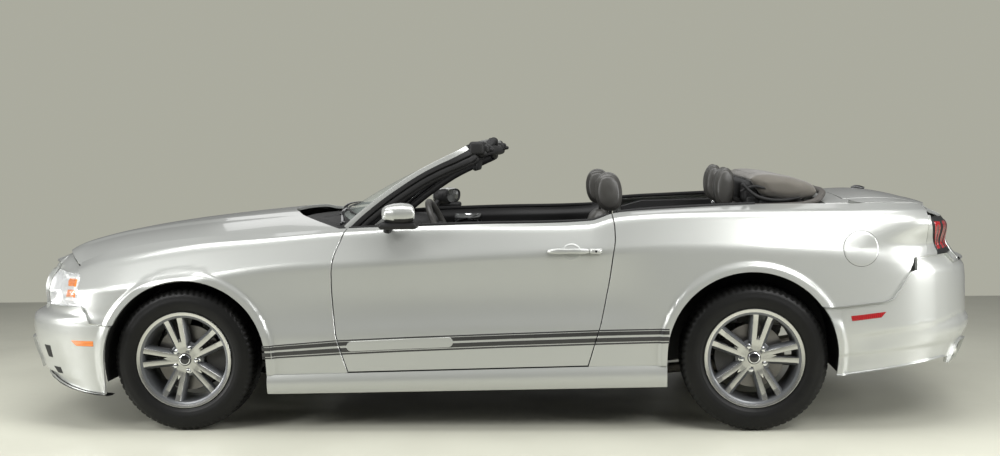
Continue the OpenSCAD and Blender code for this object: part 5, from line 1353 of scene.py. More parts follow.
# Rear bumper: the flat pad for a number plate, moulded with the bumper and painted like it. Four small
# black rings mark the screw holes for a plate.
PLATE_X, PLATE_Z, PLATE_HOLES = -2383.75, 630.0, (178.0, 121.0)
place("plate_pad", slab((PLATE_X, -160, PLATE_Z - 80), (PLATE_X + 13, 160, PLATE_Z + 80), 4), silver, "body",
      "silver_paint", ("rear_bumper",))
hole_rings = []
for y in (-0.5, 0.5):
    for z in (-0.5, 0.5):
        ring = spun([(0.3, 0.05), (0.3, 3.4), (0.9, 3.6), (0.9, 6.4), (0.1, 7.0)][::-1], 20, [0, 0, 0, 0])
        ring.transform(Matrix.Translation(Vector((PLATE_X, y * PLATE_HOLES[0],
                                                  PLATE_Z + z * PLATE_HOLES[1])) * MM)
                       @ Matrix.Rotation(math.radians(90), 4, "Z"))
        hole_rings.append(ring)
place("plate_screws", joined("screws", hole_rings), gloss_black)

# Wheel arch liners: shells of moulded dark plastic inside each opening, with ribs across them for
# stiffness. They are clipped to the lip of the body side.
liner_parts = {"front": [], "rear": []}
for end, (cx, cz, radius), y_in in (("front", ARCH_F, 500.0), ("rear", ARCH_R, 566.0)):
    turn = np.radians(np.linspace(-14 if end == "front" else -12, 194 if end == "front" else 192, 90))
    across = np.linspace(0, 1, 24)
    ribs = 2.0 * ease((np.abs((across[None, :] * 6) % 1 - 0.5) - 0.34) / 0.1)
    radii = radius + 8.5 - ribs - 2.0 * ease((0.5 - np.abs((np.degrees(turn) % 20) / 20 - 0.5) * 6))[:, None]
    y = lerp(y_in, 902.0, across)[None, :] + 0 * radii
    grid = np.stack([cx + radii * np.cos(turn)[:, None], y, cz + radii * np.sin(turn)[:, None]], -1)
    grid = grid[(grid[:, 0, 2] > 205)]
    floor_ring = grid[:, :1] - np.array([0, 2.0, 0])
    wall = np.array([cx, y_in - 2, cz]) + (floor_ring - np.array([cx, y_in - 2, cz])) * np.linspace(0.62, 1,
        4)[None, :, None]
    wall[..., 1] = y_in - 2
    grid = np.concatenate([wall[:, :-1], grid], 1)
    for sense in (1, -1):
        data = grid_mesh("liner", (grid * np.array([1, sense, 1]))[::sense], angle=50)
        liner_parts[end].append(data)
    place("arch_liner_" + end, joined("liner", liner_parts[end], 50), trim_black)

# Mirrors: a silver moulded cap over a black base and foot, screwed to the front corner of each door, with a
# plain glass that faces back.
MIRROR_AT = np.array([363.0, 950.5, 1051.0])
cap_rings = []
for share in np.linspace(0, 1, 26):
    reach = lerp(-84, 88, share)
    full = np.interp(share, [0, 0.06, 0.3, 0.62, 0.86, 0.96, 1], [0.80, 0.9, 1.0, 0.97, 0.80, 0.56, 0.05])
    turn = np.linspace(0, 2 * np.pi, 49)[:-1]
    c, s = np.cos(turn), np.sin(turn)
    wide = 84 * np.sign(c) * np.abs(c) ** 0.82 * full + 6 * share
    tall = np.where(s < 0, 62, 45) * np.sign(s) * np.abs(s) ** 0.86 * full * np.where(s < 0,
        lerp(1, 0.9, share), 1.0) - 5 * share
    skew = 0.5 * (84 - wide) * (1 - share) ** 1.3
    cap_rings.append(MIRROR_AT + np.stack([reach + skew, wide, tall], -1))
cap_rings = np.array(cap_rings)
inner_rings = [cap_rings[0], MIRROR_AT + (cap_rings[0] - MIRROR_AT) * np.array([1, 0.94, 0.94])
               + np.array([0.5, 0, 0]), MIRROR_AT + (cap_rings[0] - MIRROR_AT) * np.array([1, 0.93, 0.93])
               + np.array([9, 0, 0]), MIRROR_AT + (cap_rings[0] - MIRROR_AT) * np.array([1, 0.01, 0.01])
               + np.array([9, 0, 0])]
mirror_shell = np.concatenate([np.array(inner_rings)[::-1], cap_rings[1:]])
low_half = (mirror_shell[..., 2] < MIRROR_AT[2] - 27 - 0.06 * (mirror_shell[..., 0] - MIRROR_AT[0]))
low_half |= mirror_shell[..., 1] < MIRROR_AT[1] - 52
tone = np.where(low_half[:-1], 1, 0)
tone[:3] = 1
tone[0] = 2
mirror_glass = Finish("mirror_glass", (0.20, 0.205, 0.20), 0.14, metallic=0.6)
mirror_glass.rough(30, 2, 0.04, 0.12)
stalk = swept([(433, 884, 966), (428, 892, 985), (414, 906, 1003), (396, 925, 1018)],
              ring_shape(36, 16, 24, 3.0), (1, 0, 0.3), [1.25, 1.0, 0.9, 0.9], 16)
base = slab((280, 916, 973), (462, 1018, 1006), 15, 4)
stalk = joined("mirror_foot", [stalk, base])
for side, body in zip(("left", "right"), door_bodies):
    shell_data = grid_mesh("cap", mirror_shell[:, ::-1], closed_j=True, index=tone[:, ::-1], angle=34)
    foot = stalk.copy()
    if side == "right":
        shell_data, foot = mirror_mesh(shell_data), mirror_mesh(foot)
    place("mirror_cap_" + side, shell_data, [silver, trim_black, mirror_glass], body, "silver_paint",
          ("mirror_" + side,))
    place("mirror_foot_" + side, foot, trim_black, body, "black_plastic")

# Windscreen: a bent steel frame, its outer face painted and its inner face trimmed in black, with the glass
# bonded in on a black band. The header carries two latches and a pair of folded visors.
PILLAR = np.array([[655, 728, 955, 54, 44], [597, 719, 1010, 50, 42],
                   [497, 706, 1090, 48, 40], [398, 690, 1158, 46, 40], [299, 672, 1219, 46, 40],
                   [200, 652, 1268, 48, 40], [113, 632, 1306, 54, 40], [57, 600, 1332, 66, 40],
                   [37, 550, 1344, 82, 38], [50, 400, 1350, 92, 36], [63, 200, 1355, 96, 36],
                   [67, 0, 1357, 96, 36]], float)
half_line = smooth_line(PILLAR[:, :3], 90)
share_at = np.linspace(0, 1, len(half_line))
knots = np.concatenate([[0], np.cumsum(np.linalg.norm(np.diff(PILLAR[:, :3], axis=0), axis=1))])
widths = [np.interp(share_at, knots / knots[-1], PILLAR[:, k]) for k in (3, 4)]
line = np.concatenate([half_line, half_line[-2::-1] * np.array([1, -1, 1])])
wide, deep = [np.concatenate([w, w[-2::-1]]) for w in widths]
tangent = np.gradient(line, axis=0)
tangent /= np.linalg.norm(tangent, axis=1, keepdims=True)
up = np.stack([np.ones(len(line)), np.zeros(len(line)),
               lerp(-0.25, 0.55, np.clip((np.abs(line[:, 1]) - 540) / 100, 0, 1))], -1)
across = np.cross(tangent, up)
across /= np.linalg.norm(across, axis=1, keepdims=True)
over = np.cross(across, tangent)
FRAME_RING = np.array([[-1, -0.55], [-0.93, -0.84], [-0.6, -0.98], [0, -1], [0.6, -0.98],
                       [0.93, -0.84], [1, -0.55], [1, 0], [1, 0.55], [0.93, 0.84], [0.6, 0.98], [0, 1],
                       [-0.6, 0.98], [-0.93, 0.84], [-1, 0.55], [-1, 0]])
frame_grid = (line[:, None] + across[:, None] * (FRAME_RING[None, :, :1] * deep[:, None, None] / 2)
              + over[:, None] * (FRAME_RING[None, :, 1:] * wide[:, None, None] / 2))
ring_side = (FRAME_RING[:, 0] + np.roll(FRAME_RING[:, 0], -1)) / 2
end_cap = (line[:-1, 0] < 78) & (np.abs(line[:-1, 1]) > 500)
on_pillar = np.abs(line[:-1, 1]) > 580
painted = np.where(on_pillar[:, None], np.isin(np.arange(16), (7, 8, 9, 10))[None, :],
                   ring_side[None, :] > 0.1)
tone = np.where(painted & ~end_cap[:, None], 0, 1)
frame_data = grid_mesh("frame", frame_grid, closed_j=True, index=tone, angle=36)
place("windscreen_frame", frame_data, [silver, trim_black], "body", "silver_paint", ("windshield_frame",))
seal_parts = []
for sense in (1, -1):
    turn = np.array([1, sense, 1])
    reach = np.arange(len(half_line))[half_line[:, 0] > 66]
    outer = half_line[reach] - over[reach] * (wide[reach, None] / 2 + 15) + np.array([0, -3, 0])
    inner = half_line[reach] - over[reach] * (wide[reach, None] / 2 + 26) + np.array([0, -28, 0])
    seal_parts.append(swept(outer * turn, ring_shape(15, 19, 14, 3), (0, 1, 0)))
    seal_parts.append(swept(inner * turn, ring_shape(18, 17, 14, 2.6), (0, 1, 0)))
place("pillar_seals", joined("seals", seal_parts), seal_rubber)

# Windscreen glass: one laminated pane, bowed forward and bonded to the frame. A printed black border hides
# the bond.
GLASS_IN = 29.0


def glass_at(t, q):
    at = t * 6 + 0.6
    rows = [sum(np.interp(at + d, np.arange(12), PILLAR[:, k]) for d in np.linspace(-0.4, 0.4, 9)) / 9
            for k in range(3)]
    bow = lerp(168, 26, t) * (1 - q * q)
    return np.stack([rows[0] + bow - 4, q * (rows[1] - GLASS_IN),
                     rows[2] + lerp(26, 8, t) * (1 - q * q) - 2], -1)


t, q = np.meshgrid(np.linspace(0, 1, 44), np.linspace(1, -1, 61), indexing="ij")
screen = glass_at(t, q)
glass = Finish("clear_glass", (0.55, 0.62, 0.58), 0.03, IOR=1.45)
glass.feed("Alpha", glass.noise(2, 2) * 0.05 + 0.27)
glass.rough(8, 2, 0.02, 0.02)
place("screen_glass", panel_mesh("screen", [(screen, None)], 4.5), glass, "body", "clear_glass",
      ("windshield",))
mid_t, mid_q = (t[:-1, :-1] + t[1:, 1:]) / 2, np.abs(q[:-1, :-1] + q[1:, 1:]) / 2
printed = (mid_q > 0.945) | (mid_t < 0.05) | (mid_t > 0.94)
place("screen_band", panel_mesh("band", [(lifted(screen, -5.6), printed)], 0), gloss_black)

# Header trim, latches, visors and the mirror: moulded plastic and padded board, screwed under the frame's
# top bar. The latches take the hooks of the closed top.
def closed_line(points, rounds=3):
    """A smooth closed curve, by cutting the corners of a polygon again and again."""
    points = np.asarray(points, float)
    for _ in range(rounds):
        following = np.roll(points, -1, 0)
        points = np.stack([lerp(points, following, 0.25), lerp(points, following, 0.75)], 1).reshape(-1, 2)
    return points


HEADER = closed_line([(58, 1306), (66, 1334), (62, 1360), (34, 1370), (6, 1362), (-12, 1346),
                      (-20, 1328), (-20, 1312), (-8, 1302), (20, 1296)], 2)
header_y = np.linspace(-606, 606, 121)
rise = np.interp(np.abs(header_y), [0, 400, 606], [4, 0, -6])
full = 1 - 0.6 * ease((np.abs(header_y) - 592) / 14)
middle = HEADER.mean(0)
header = np.stack([np.broadcast_to(header_y[:, None] * 0, (121, len(HEADER))) + middle[0]
                   + (HEADER[None, :, 0] - middle[0]) * full[:, None],
                   np.broadcast_to(header_y[:, None], (121, len(HEADER))), middle[1]
                   + (HEADER[None, :, 1] - middle[1]) * full[:, None] + rise[:, None]], -1)
header[..., 2] = np.where(header[..., 0] > -20, np.minimum(header[..., 2], 1352), header[..., 2])
ends = [header[k].mean(0)[None] + (header[k] - header[k].mean(0)) * 0.02 for k in (0, -1)]
header_parts = [grid_mesh("rail", np.concatenate([ends[0][None], header, ends[1][None]])[::-1],
                          closed_j=True, angle=50)]
for sense in (-1, 1):
    cap_low, cap_high = sorted((sense * 588, sense * 640))
    header_parts.append(slab((-8, cap_low, 1308), (68, cap_high, 1374), 17, 4))
    cap_low, cap_high = sorted((sense * 470, sense * 600))
    header_parts.append(slab((-30, cap_low, 1316), (16, cap_high, 1360), 15, 4))
    cap_low, cap_high = sorted((sense * 500, sense * 560))
    header_parts.append(slab((-46, cap_low, 1322), (-10, cap_high, 1342), 9, 4))
place("header_trim", joined("header", header_parts), trim_black)
visor_finish = Finish("visor_cloth", (0.05, 0.05, 0.051), 0.85)
visor_finish.tint(160, 3, (0.038, 0.038, 0.039), (0.062, 0.062, 0.063))
visor_finish.bump(visor_finish.cells(1400), 0.0004, 0.5)
for side, sense in SIDES:
    visor = slab((0, -190, -8), (150, 190, 8), 7, 4)
    visor.transform(Matrix.Translation(Vector((22, sense * 318, 1322))
                                       * MM) @ Matrix.Rotation(math.radians(26), 4, "Y"))
    place("visor_" + side, visor, visor_finish)
rear_view = joined("rear_view", [swept([(128, 0, 1290), (112, 0, 1276), (96, 0, 1262)],
                                       ring_shape(9, 9, 14), (0, 1, 0))])
mirror_body = slab((-14, -125, -32), (14, 125, 32), 13, 4)
mirror_body.transform(Matrix.Translation(Vector((84, 0, 1250))
                                         * MM) @ Matrix.Rotation(math.radians(-8), 4, "Y"))
place("rear_view_mirror", joined("rear_view", [rear_view, mirror_body]), trim_black)

# Cowl and wipers: a louvred black moulding clipped between hood and glass, and two steel wiper arms with
# rubber blades, bolted to their spindles.
t, q = np.meshgrid(np.linspace(0, 1, 30), np.linspace(1, -1, 121), indexing="ij")
hood_edge_pt, glass_edge_pt = hood_pt(1.0, q), glass_at(0 * q, q * 672 / (728 - GLASS_IN))
cowl = np.stack([lerp(hood_edge_pt[..., 0] - GAP - 30 * (1 - q * q), glass_edge_pt[..., 0] - 1, t), q * 672,
                 lerp(np.minimum(hood_edge_pt[..., 2], 1010) - 22, glass_edge_pt[..., 2] - 4.8, t)
                 - 26 * np.sin(np.pi * t) * (1 - q ** 4)], -1)
louvres = window(t, 0.25, 0.6, 0.06) * window((q * 46) % 1, 0.3, 0.7, 0.16) * window(np.abs(q), 0.1, 0.9,
        0.03)
place("cowl_louvres", grid_mesh("cowl", lifted(cowl, -4 * louvres), angle=50), trim_black, "body",
      "black_plastic", ("cowl_panel",))
wiper_parts = []
for pivot_q, tip_q, base_q in ((0.78, 0.10, 0.86), (0.02, -0.70, 0.12)):
    at = np.linspace(base_q, tip_q, 30)
    blade = glass_at(0.055 + 0.0 * at, at) + np.array([5, 0, 10])
    wiper_parts.append(swept(blade, ring_shape(4, 7, 10, 3), (0, 0, 1), [0.5, 1, 1, 1, 0.5]))
    pivot = glass_at(np.array([0.0]), np.array([pivot_q]))[0] + np.array([34, 0, -18])
    middle = blade[15] + np.array([4, 0, 9])
    bend = lerp(pivot, middle, 0.25) + np.array([8, 0, 26])
    wiper_parts.append(swept([pivot, bend, lerp(bend, middle, 0.6) + np.array([2, 0, 7]),
                              middle], ring_shape(7, 4, 12, 3),
                             (0, 0, 1), [1.6, 1.2, 0.9, 0.7], 24))
    wiper_parts.append(slab(pivot - np.array([15, 15, 14]), pivot + np.array([15, 15, 10]), 9, 4))
place("wipers", joined("wipers", wiper_parts), gloss_black)

# Dashboard: a soft black moulding with a satin metal band, round vents, a hooded pair of dials and a centre
# stack, bolted to the structure behind the engine's wall.
FIRE_X = AXLE_F - 600
DASH = np.array([[FIRE_X - 2, 860], [FIRE_X - 110, 896], [FIRE_X - 260, 950],
                 [FIRE_X - 420, 957], [FIRE_X - 470, 946], [FIRE_X - 486, 925], [FIRE_X - 482, 880],
                 [FIRE_X - 474, 820], [FIRE_X - 452, 740], [FIRE_X - 420, 660], [FIRE_X - 330, 610],
                 [FIRE_X - 180, 600], [FIRE_X - 30, 618]])
satin_metal = Finish("satin_band", (0.42, 0.43, 0.44), 0.34, metallic=0.9)
satin_metal.rough(60, 4, 0.16, 0.26)
dash_line = smooth_line(DASH, 84)
dash_y = np.linspace(668, -668, 150)
px, pz = np.broadcast_arrays(dash_line[:, 0][None, :], dash_line[:, 1][None, :] + 0 * dash_y[:, None])
py = np.broadcast_to(dash_y[:, None], px.shape)
face = window(np.arange(84)[None, :], 38, 70, 6)
hood_rise = 24 * window(py, 210, 530, 60) * ease((FIRE_X - 250 - px) / 120) * ease((pz - 905) / 30)
well = 62 * window(py, 236, 504, 26) * window(pz, 836, 924, 16) * (px < FIRE_X - 400)
stack = 26 * window(py, -142, 142, 22) * window(pz, 640, 922, 20) * (px < FIRE_X - 380)
box_line = -3 * (window(py, -560, -190, 5) * window(pz, 680, 790, 5) - window(py, -556, -194, 5)
                 * window(pz, 684, 786, 5))
dash = np.stack([px + well - stack - box_line * (px < FIRE_X - 380), py, pz + hood_rise], -1)
band = ((np.abs(pz - 836) < 16) & (px < FIRE_X - 440) & (well < 10) & (stack < 13))
dash_tone = np.where(band[:-1, :-1] & band[1:, 1:], 1, 0)
place("dashboard_shell", grid_mesh("dash", dash, index=dash_tone, angle=40), [trim_black, satin_metal],
      "body", "black_plastic", ("dashboard",))


def disc_facing_back(profile, centre):
    """A small round part whose axis points at the seats."""
    made = spun(profile, 40, [0] * (len(profile) - 1))
    made.transform(Matrix.Translation(Vector(centre) * MM) @ Matrix.Rotation(math.radians(90), 4, "Z"))
    return made


dial_face = Finish("dial_face", (0.02, 0.02, 0.022), 0.4)
dial_face.tint(50, 2, (0.014, 0.014, 0.016), (0.03, 0.03, 0.033))
dial_parts, ring_parts = [], []
for y in (300, 440):
    dial_parts.append(disc_facing_back([(-1.0, 0.1), (0, 52), (-6, 56)][::-1], (FIRE_X - 428, y, 880)))
    ring_parts.append(disc_facing_back([(-4, 52), (7, 53), (9, 56), (6, 60),
                                        (-8, 60)][::-1], (FIRE_X - 430, y, 880)))
for y in (-590, -100, 100, 590):
    ring_parts.append(disc_facing_back([(-6, 33), (5, 34), (8, 38), (4, 43), (-10, 44)][::-1],
                                       (FIRE_X - (498 if abs(y) < 200 else 478), y,
                                        868 if abs(y) > 200 else 880)))
    dial_parts.append(disc_facing_back([(2, 0.1), (1, 12), (-5, 33)][::-1],
                                       (FIRE_X - (496 if abs(y) < 200 else 476), y,
                                                                            868 if abs(y) > 200 else 880)))
place("dial_faces", joined("dials", dial_parts), dial_face)
place("dial_rings", joined("rings", ring_parts), chrome, "body", "wheel_alloy")
stack_parts = [slab((FIRE_X - 512, -108, 776), (FIRE_X - 494, 108, 846), 5)]
for y in (-84, -56, -28, 0, 28, 56, 84):
    stack_parts.append(slab((FIRE_X - 506, y - 11, 744), (FIRE_X - 492, y + 11, 758), 4))
stack_parts += [disc_facing_back([(22, 0.1), (21, 12), (16, 15), (-6, 16)][::-1], (FIRE_X - 482, y, 710))
                for y in (-72, 0, 72)]
place("stack_controls", joined("stack", stack_parts), gloss_black)
column = swept([(430, 370, 823), (350, 370, 859), (278, 370, 891)], ring_shape(44, 38, 24, 2.6), (0, 1, 0),
               [1.15, 1.1, 0.9])
stalks = [swept([(316, 370 + s * 30, 879), (308, 370 + s * 110, 886), (300, 370 + s * 175, 901)],
                ring_shape(6, 6, 12), (0, 0, 1), [0.8, 0.8, 1.3], 12) for s in (-1, 1)]
place("steering_column", joined("column", [column] + stalks), trim_black)

# Console: a black moulding screwed to the tunnel, with a satin plate, a gear lever in a leather boot, a
# lidded box and the hand brake.
console_parts = [slab((FIRE_X - 1150, -100, 424), (FIRE_X - 790, 100, 596), 22, 4),
                 slab((FIRE_X - 800, -98, 424), (FIRE_X - 350, 98, 552), 18, 4),
                 slab((FIRE_X - 470, -96, 430), (FIRE_X - 344, 96, 640), 26, 4)]
place("console_body", joined("console", console_parts), trim_black, "body", "black_plastic", ("console",))
place("console_plate", slab((FIRE_X - 770, -78, 548), (FIRE_X - 520, 78, 558), 4), satin_metal)
leather = Finish("seat_leather", (0.05, 0.049, 0.046), 0.40)
leather.tint(14, 6, (0.034, 0.033, 0.030), (0.066, 0.064, 0.058))
leather.rough(30, 4, 0.2, 0.28)
leather.bump(leather.cells(520) * 0.7 + leather.noise(900, 3) * 0.3, 0.0007, 0.35)
boot = swept([(200, 40, 556), (198, 40, 574), (194, 40, 600), (190, 40, 622)], ring_shape(46, 40, 28, 2.4),
             (1, 0, 0), [1.0, 0.82, 0.5, 0.26], 16)
place("gear_boot", boot, leather, "body", "seat_leather")
knob = swept([(190, 40, 612), (187, 40, 636), (184, 40, 662), (182, 40, 682)], ring_shape(22, 22, 24),
             (1, 0, 0), [0.32, 0.6, 1.05, 0.35], 22)
place("gear_knob", knob, gloss_black)
brake = swept([(-20, -62, 566), (60, -62, 574), (150, -62, 590), (182, -62, 596)],
              ring_shape(13, 16, 18, 2.6), (0, 0, 1), [0.9, 1.0, 1.0, 0.7], 30)
place("hand_brake", brake, leather, "body", "seat_leather")

# Steering wheel: a leather rim sewn over a cast frame, with three satin spokes and a plain padded boss. It
# is bolted to the end of the column and turns with it.
STEER_AT, STEER_TILT = np.array([233.0, 370.0, 911.0]), math.radians(24)
turn = np.linspace(0, 2 * np.pi, 97)[:-1]
tube = np.linspace(0, 2 * np.pi, 21)[:-1]
grip_bulge = 1 + 0.12 * ease((16 - np.abs(np.degrees(np.abs(np.mod(turn, 2 * np.pi) - np.pi / 2)) - 62)) / 10)
rim_r = 174 + 16 * np.cos(tube)[None, :] * grip_bulge[:, None]
rim = np.stack([rim_r * np.cos(turn)[:, None], rim_r * np.sin(turn)[:, None], 16 * np.sin(tube)[None, :]
                * grip_bulge[:, None]], -1)
sine, cosine = math.sin(STEER_TILT), math.cos(STEER_TILT)
wheel_turn = Matrix(((0, -sine, -cosine), (1, 0, 0), (0, -cosine, sine))).to_4x4()
to_wheel = Matrix.Translation(Vector(STEER_AT) * MM) @ wheel_turn


def on_wheel(data):
    data.transform(to_wheel)
    if to_wheel.to_3x3().determinant() < 0:
        data.flip_normals()
    return data


rim_data = grid_mesh("rim", rim[::-1], closed_i=True, closed_j=True)
place("steering_rim", on_wheel(rim_data), leather, "steering_wheel", "seat_leather", ("steering_wheel",))
spokes = []
for degrees in (0, 180, 90):
    a = math.radians(degrees)
    reach = [(math.cos(a) * r, math.sin(a) * r, h) for r, h in ((52, 14), (100, 2), (140, -2), (168, 0))]
    spokes.append(swept(reach, ring_shape(20, 6, 20, 3.4), (0, 0, 1), [1.3, 0.95, 0.85, 1.0], 20))
place("steering_spokes", on_wheel(joined("spokes", spokes)), satin_metal, "steering_wheel", "wheel_alloy")
pad = swept([(0, 0, -14), (0, 0, -4), (0, 0, 14), (0, 0, 26), (0, 0, 31)], ring_shape(68, 62, 40, 2.8),
            (0, 1, 0), [0.84, 1.0, 0.99, 0.82, 0.3], 24)
place("steering_pad", on_wheel(joined("pad", [pad,
        swept([(0, 0, -60), (0, 0, -10)], ring_shape(30, 30, 24), (0, 1, 0))])),
      trim_black, "steering_wheel", "black_plastic")

# Seats: leather covers sewn in panels over foam on a steel frame. The foam is blown up by cloth pressure,
# and seams and stitches are pressed into it.
SEAT_X, SEAT_Y = -495.0, 370.0
CLOTH_FRAMES = 20
BAR_SIDES = 4
SEAM_PRESSED, SEAM_WIDTH = 6.5, 6.5
STITCH_OFF = 8.5
SEAT_STITCH, TOP_STITCH = (8.0, 5.2, 0.75), (9.0, 6.0, 0.8)


def evaluated(piece):
    graph = bpy.context.evaluated_depsgraph_get()
    return bpy.data.meshes.new_from_object(piece.evaluated_get(graph), depsgraph=graph)


def foam(name, profile, half, y0, soft=60.0, inset=3.0, voxel=19.0, pressure=4.0, most=14.0, rounds=3):
    """A padded piece from its side profile and half width: remeshed, blown up, and limited in how far it
    moves."""
    line = closed_line(profile, rounds)
    centre = (line.max(0) + line.min(0)) / 2
    reach = np.linalg.norm(line - centre, axis=1, keepdims=True)
    line = centre + (line - centre) * (1 - inset / np.maximum(reach, 30))
    at = np.linspace(-1, 1, 25)
    at = np.sign(at) * np.abs(at) ** 0.6
    from_end = (1 - np.abs(at)) * (half - inset)
    shrink = 1 - 0.5 * (1 - np.sqrt(np.clip(1 - (1 - np.clip(from_end / soft, 0, 1)) ** 2, 0, 1)))
    flat = centre + (line[None] - centre) * shrink[:, None, None]
    grid = np.stack([flat[..., 0], np.broadcast_to((y0 + at * (half - inset))[:, None],
                                                   flat.shape[:2]), flat[..., 1]], -1)
    tips = [grid[k].mean(0)[None] + (grid[k] - grid[k].mean(0)) * 0.03 for k in (0, -1)]
    data = grid_mesh(name, np.concatenate([tips[0][None], grid, tips[1][None]]), closed_j=True)
    work = bpy.data.objects.new(name + "_work", data)
    bpy.context.scene.collection.objects.link(work)
    remesh = work.modifiers.new("remesh", "REMESH")
    remesh.mode, remesh.voxel_size = "VOXEL", voxel * MM
    remeshed = evaluated(work)
    work.modifiers.clear()
    work.data = remeshed
    before = np.empty(len(remeshed.vertices) * 3)
    remeshed.vertices.foreach_get("co", before)
    cloth = work.modifiers.new("cloth", "CLOTH")
    cloth.settings.quality = 4
    cloth.settings.use_pressure = True
    cloth.settings.uniform_pressure_force = pressure
    cloth.settings.effector_weights.gravity = 0
    cloth.settings.tension_stiffness = 18
    cloth.settings.bending_stiffness = 0.6
    cloth.point_cache.frame_end = CLOTH_FRAMES
    for frame_number in range(1, CLOTH_FRAMES + 1):
        bpy.context.scene.frame_set(frame_number)
    blown = evaluated(work)
    after = np.empty(len(before))
    blown.vertices.foreach_get("co", after)
    moved = (after - before).reshape(-1, 3)
    length = np.linalg.norm(moved, axis=1, keepdims=True)
    moved *= np.minimum(1, most * MM / np.maximum(length, 1e-9))
    work.modifiers.clear()
    remeshed.vertices.foreach_set("co", (before.reshape(-1, 3) + moved).ravel())
    finer = work.modifiers.new("finer", "SUBSURF")
    finer.levels = finer.render_levels = 1
    result = evaluated(work)
    bpy.data.objects.remove(work)
    return result


def pressed(data, depth_at):
    """Presses seams and folds into a padded piece: each vertex moves along its normal by depth_at(points)."""
    count = len(data.vertices)
    points, normals = np.empty(count * 3), np.empty(count * 3)
    data.vertices.foreach_get("co", points)
    data.vertex_normals.foreach_get("vector", normals)
    points, normals = points.reshape(-1, 3), normals.reshape(-1, 3)
    moved = points + normals * depth_at(points / MM, normals)[:, None] * MM
    data.vertices.foreach_set("co", moved.ravel())
    data.polygons.foreach_set("use_smooth", [True] * len(data.polygons))
    data.update()
    return data


def groove(distance, width=7.0, depth=6.0):
    return -depth * np.exp(-(distance / width) ** 2) + 0.32 * depth * np.exp(-((np.abs(distance)
        - 2.2 * width) / width) ** 2)


def on_surface(data, points, lift=1.0):
    """Drops a line of points on to a mesh, and raises it a little."""
    tree = BVHTree.FromPolygons([v.co for v in data.vertices], [tuple(p.vertices) for p in data.polygons])
    out = []
    for point in points:
        place_at, normal, _, _ = tree.find_nearest(Vector(point) * MM)
        out.append(place_at / MM + normal * lift)
    return np.array([list(v) for v in out])


def repeated(name, lines, pitch, length, radius):
    """Geometry Nodes: one small rounded bar, such as a stitch, repeated along lines. Returns a plain mesh."""
    data = bpy.data.meshes.new(name)
    verts, edges = [], []
    for line in lines:
        edges += [(len(verts) + k, len(verts) + k + 1) for k in range(len(line) - 1)]
        verts += (np.asarray(line) * MM).tolist()
    data.from_pydata(verts, edges, [])
    holder = bpy.data.objects.new(name, data)
    bpy.context.scene.collection.objects.link(holder)
    group = bpy.data.node_groups.new(name, "GeometryNodeTree")
    group.interface.new_socket("Geometry", in_out="INPUT", socket_type="NodeSocketGeometry")
    for label, value in (("Pitch", pitch), ("Length", length), ("Radius", radius)):
        socket = group.interface.new_socket(label, in_out="INPUT", socket_type="NodeSocketFloat")
        socket.default_value = value * MM
    group.interface.new_socket("Geometry", in_out="OUTPUT", socket_type="NodeSocketGeometry")
    nodes, link = group.nodes, group.links.new
    given, result = nodes.new("NodeGroupInput"), nodes.new("NodeGroupOutput")
    to_curve = nodes.new("GeometryNodeMeshToCurve")
    resample = nodes.new("GeometryNodeResampleCurve")
    if "Mode" in resample.inputs:
        resample.inputs["Mode"].default_value = "Length"
    else:
        resample.mode = "LENGTH"
    bar = nodes.new("GeometryNodeMeshCylinder")
    bar.inputs["Vertices"].default_value = BAR_SIDES
    tangent = nodes.new("GeometryNodeInputTangent")
    aim = nodes.new("FunctionNodeAlignRotationToVector")
    aim.axis = "Z"
    spread = nodes.new("GeometryNodeInstanceOnPoints")
    real = nodes.new("GeometryNodeRealizeInstances")
    shade = nodes.new("GeometryNodeSetMaterial")
    link(given.outputs["Geometry"], to_curve.inputs["Mesh"])
    link(to_curve.outputs["Curve"], resample.inputs["Curve"])
    link(given.outputs["Pitch"], resample.inputs["Length"])
    link(given.outputs["Length"], bar.inputs["Depth"])
    link(given.outputs["Radius"], bar.inputs["Radius"])
    link(resample.outputs["Curve"], spread.inputs["Points"])
    link(bar.outputs["Mesh"], spread.inputs["Instance"])
    link(tangent.outputs["Tangent"], aim.inputs["Vector"])
    link(aim.outputs["Rotation"], spread.inputs["Rotation"])
    link(spread.outputs["Instances"], real.inputs["Geometry"])
    link(real.outputs["Geometry"], shade.inputs["Geometry"])
    link(shade.outputs["Geometry"], result.inputs["Geometry"])
    made = holder.modifiers.new("repeat", "NODES")
    made.node_group = group
    out = evaluated(holder)
    holder.modifiers.clear()
    bpy.data.objects.remove(holder)
    out.materials.clear()
    return out


thread = Finish("grey_thread", (0.20, 0.20, 0.195), 0.8)
thread.tint(300, 3, (0.15, 0.15, 0.148), (0.26, 0.26, 0.25))


def moved_copy(data, shift=(0, 0, 0), flip=False):
    copy = mirror_mesh(data) if flip else data.copy()
    copy.transform(Matrix.Translation(Vector(shift) * MM))
    return copy


def profile_distance(points, line):
    """How far each point lies from a profile line in x and z, and how far along the line it is."""
    line = np.asarray(line, float)
    nearest, along = np.full(len(points), 1e9), np.zeros(len(points))
    start = 0.0
    for a, b in zip(line[:-1], line[1:]):
        size = np.linalg.norm(b - a)
        t = np.clip(((points[:, [0, 2]] - a) @ (b - a)) / size ** 2, 0, 1)
        away = np.linalg.norm(points[:, [0, 2]] - a - t[:, None] * (b - a), axis=1)
        closer = away < nearest
        nearest, along = np.where(closer, away, nearest), np.where(closer, start + t * size, along)
        start += size
    return nearest, along


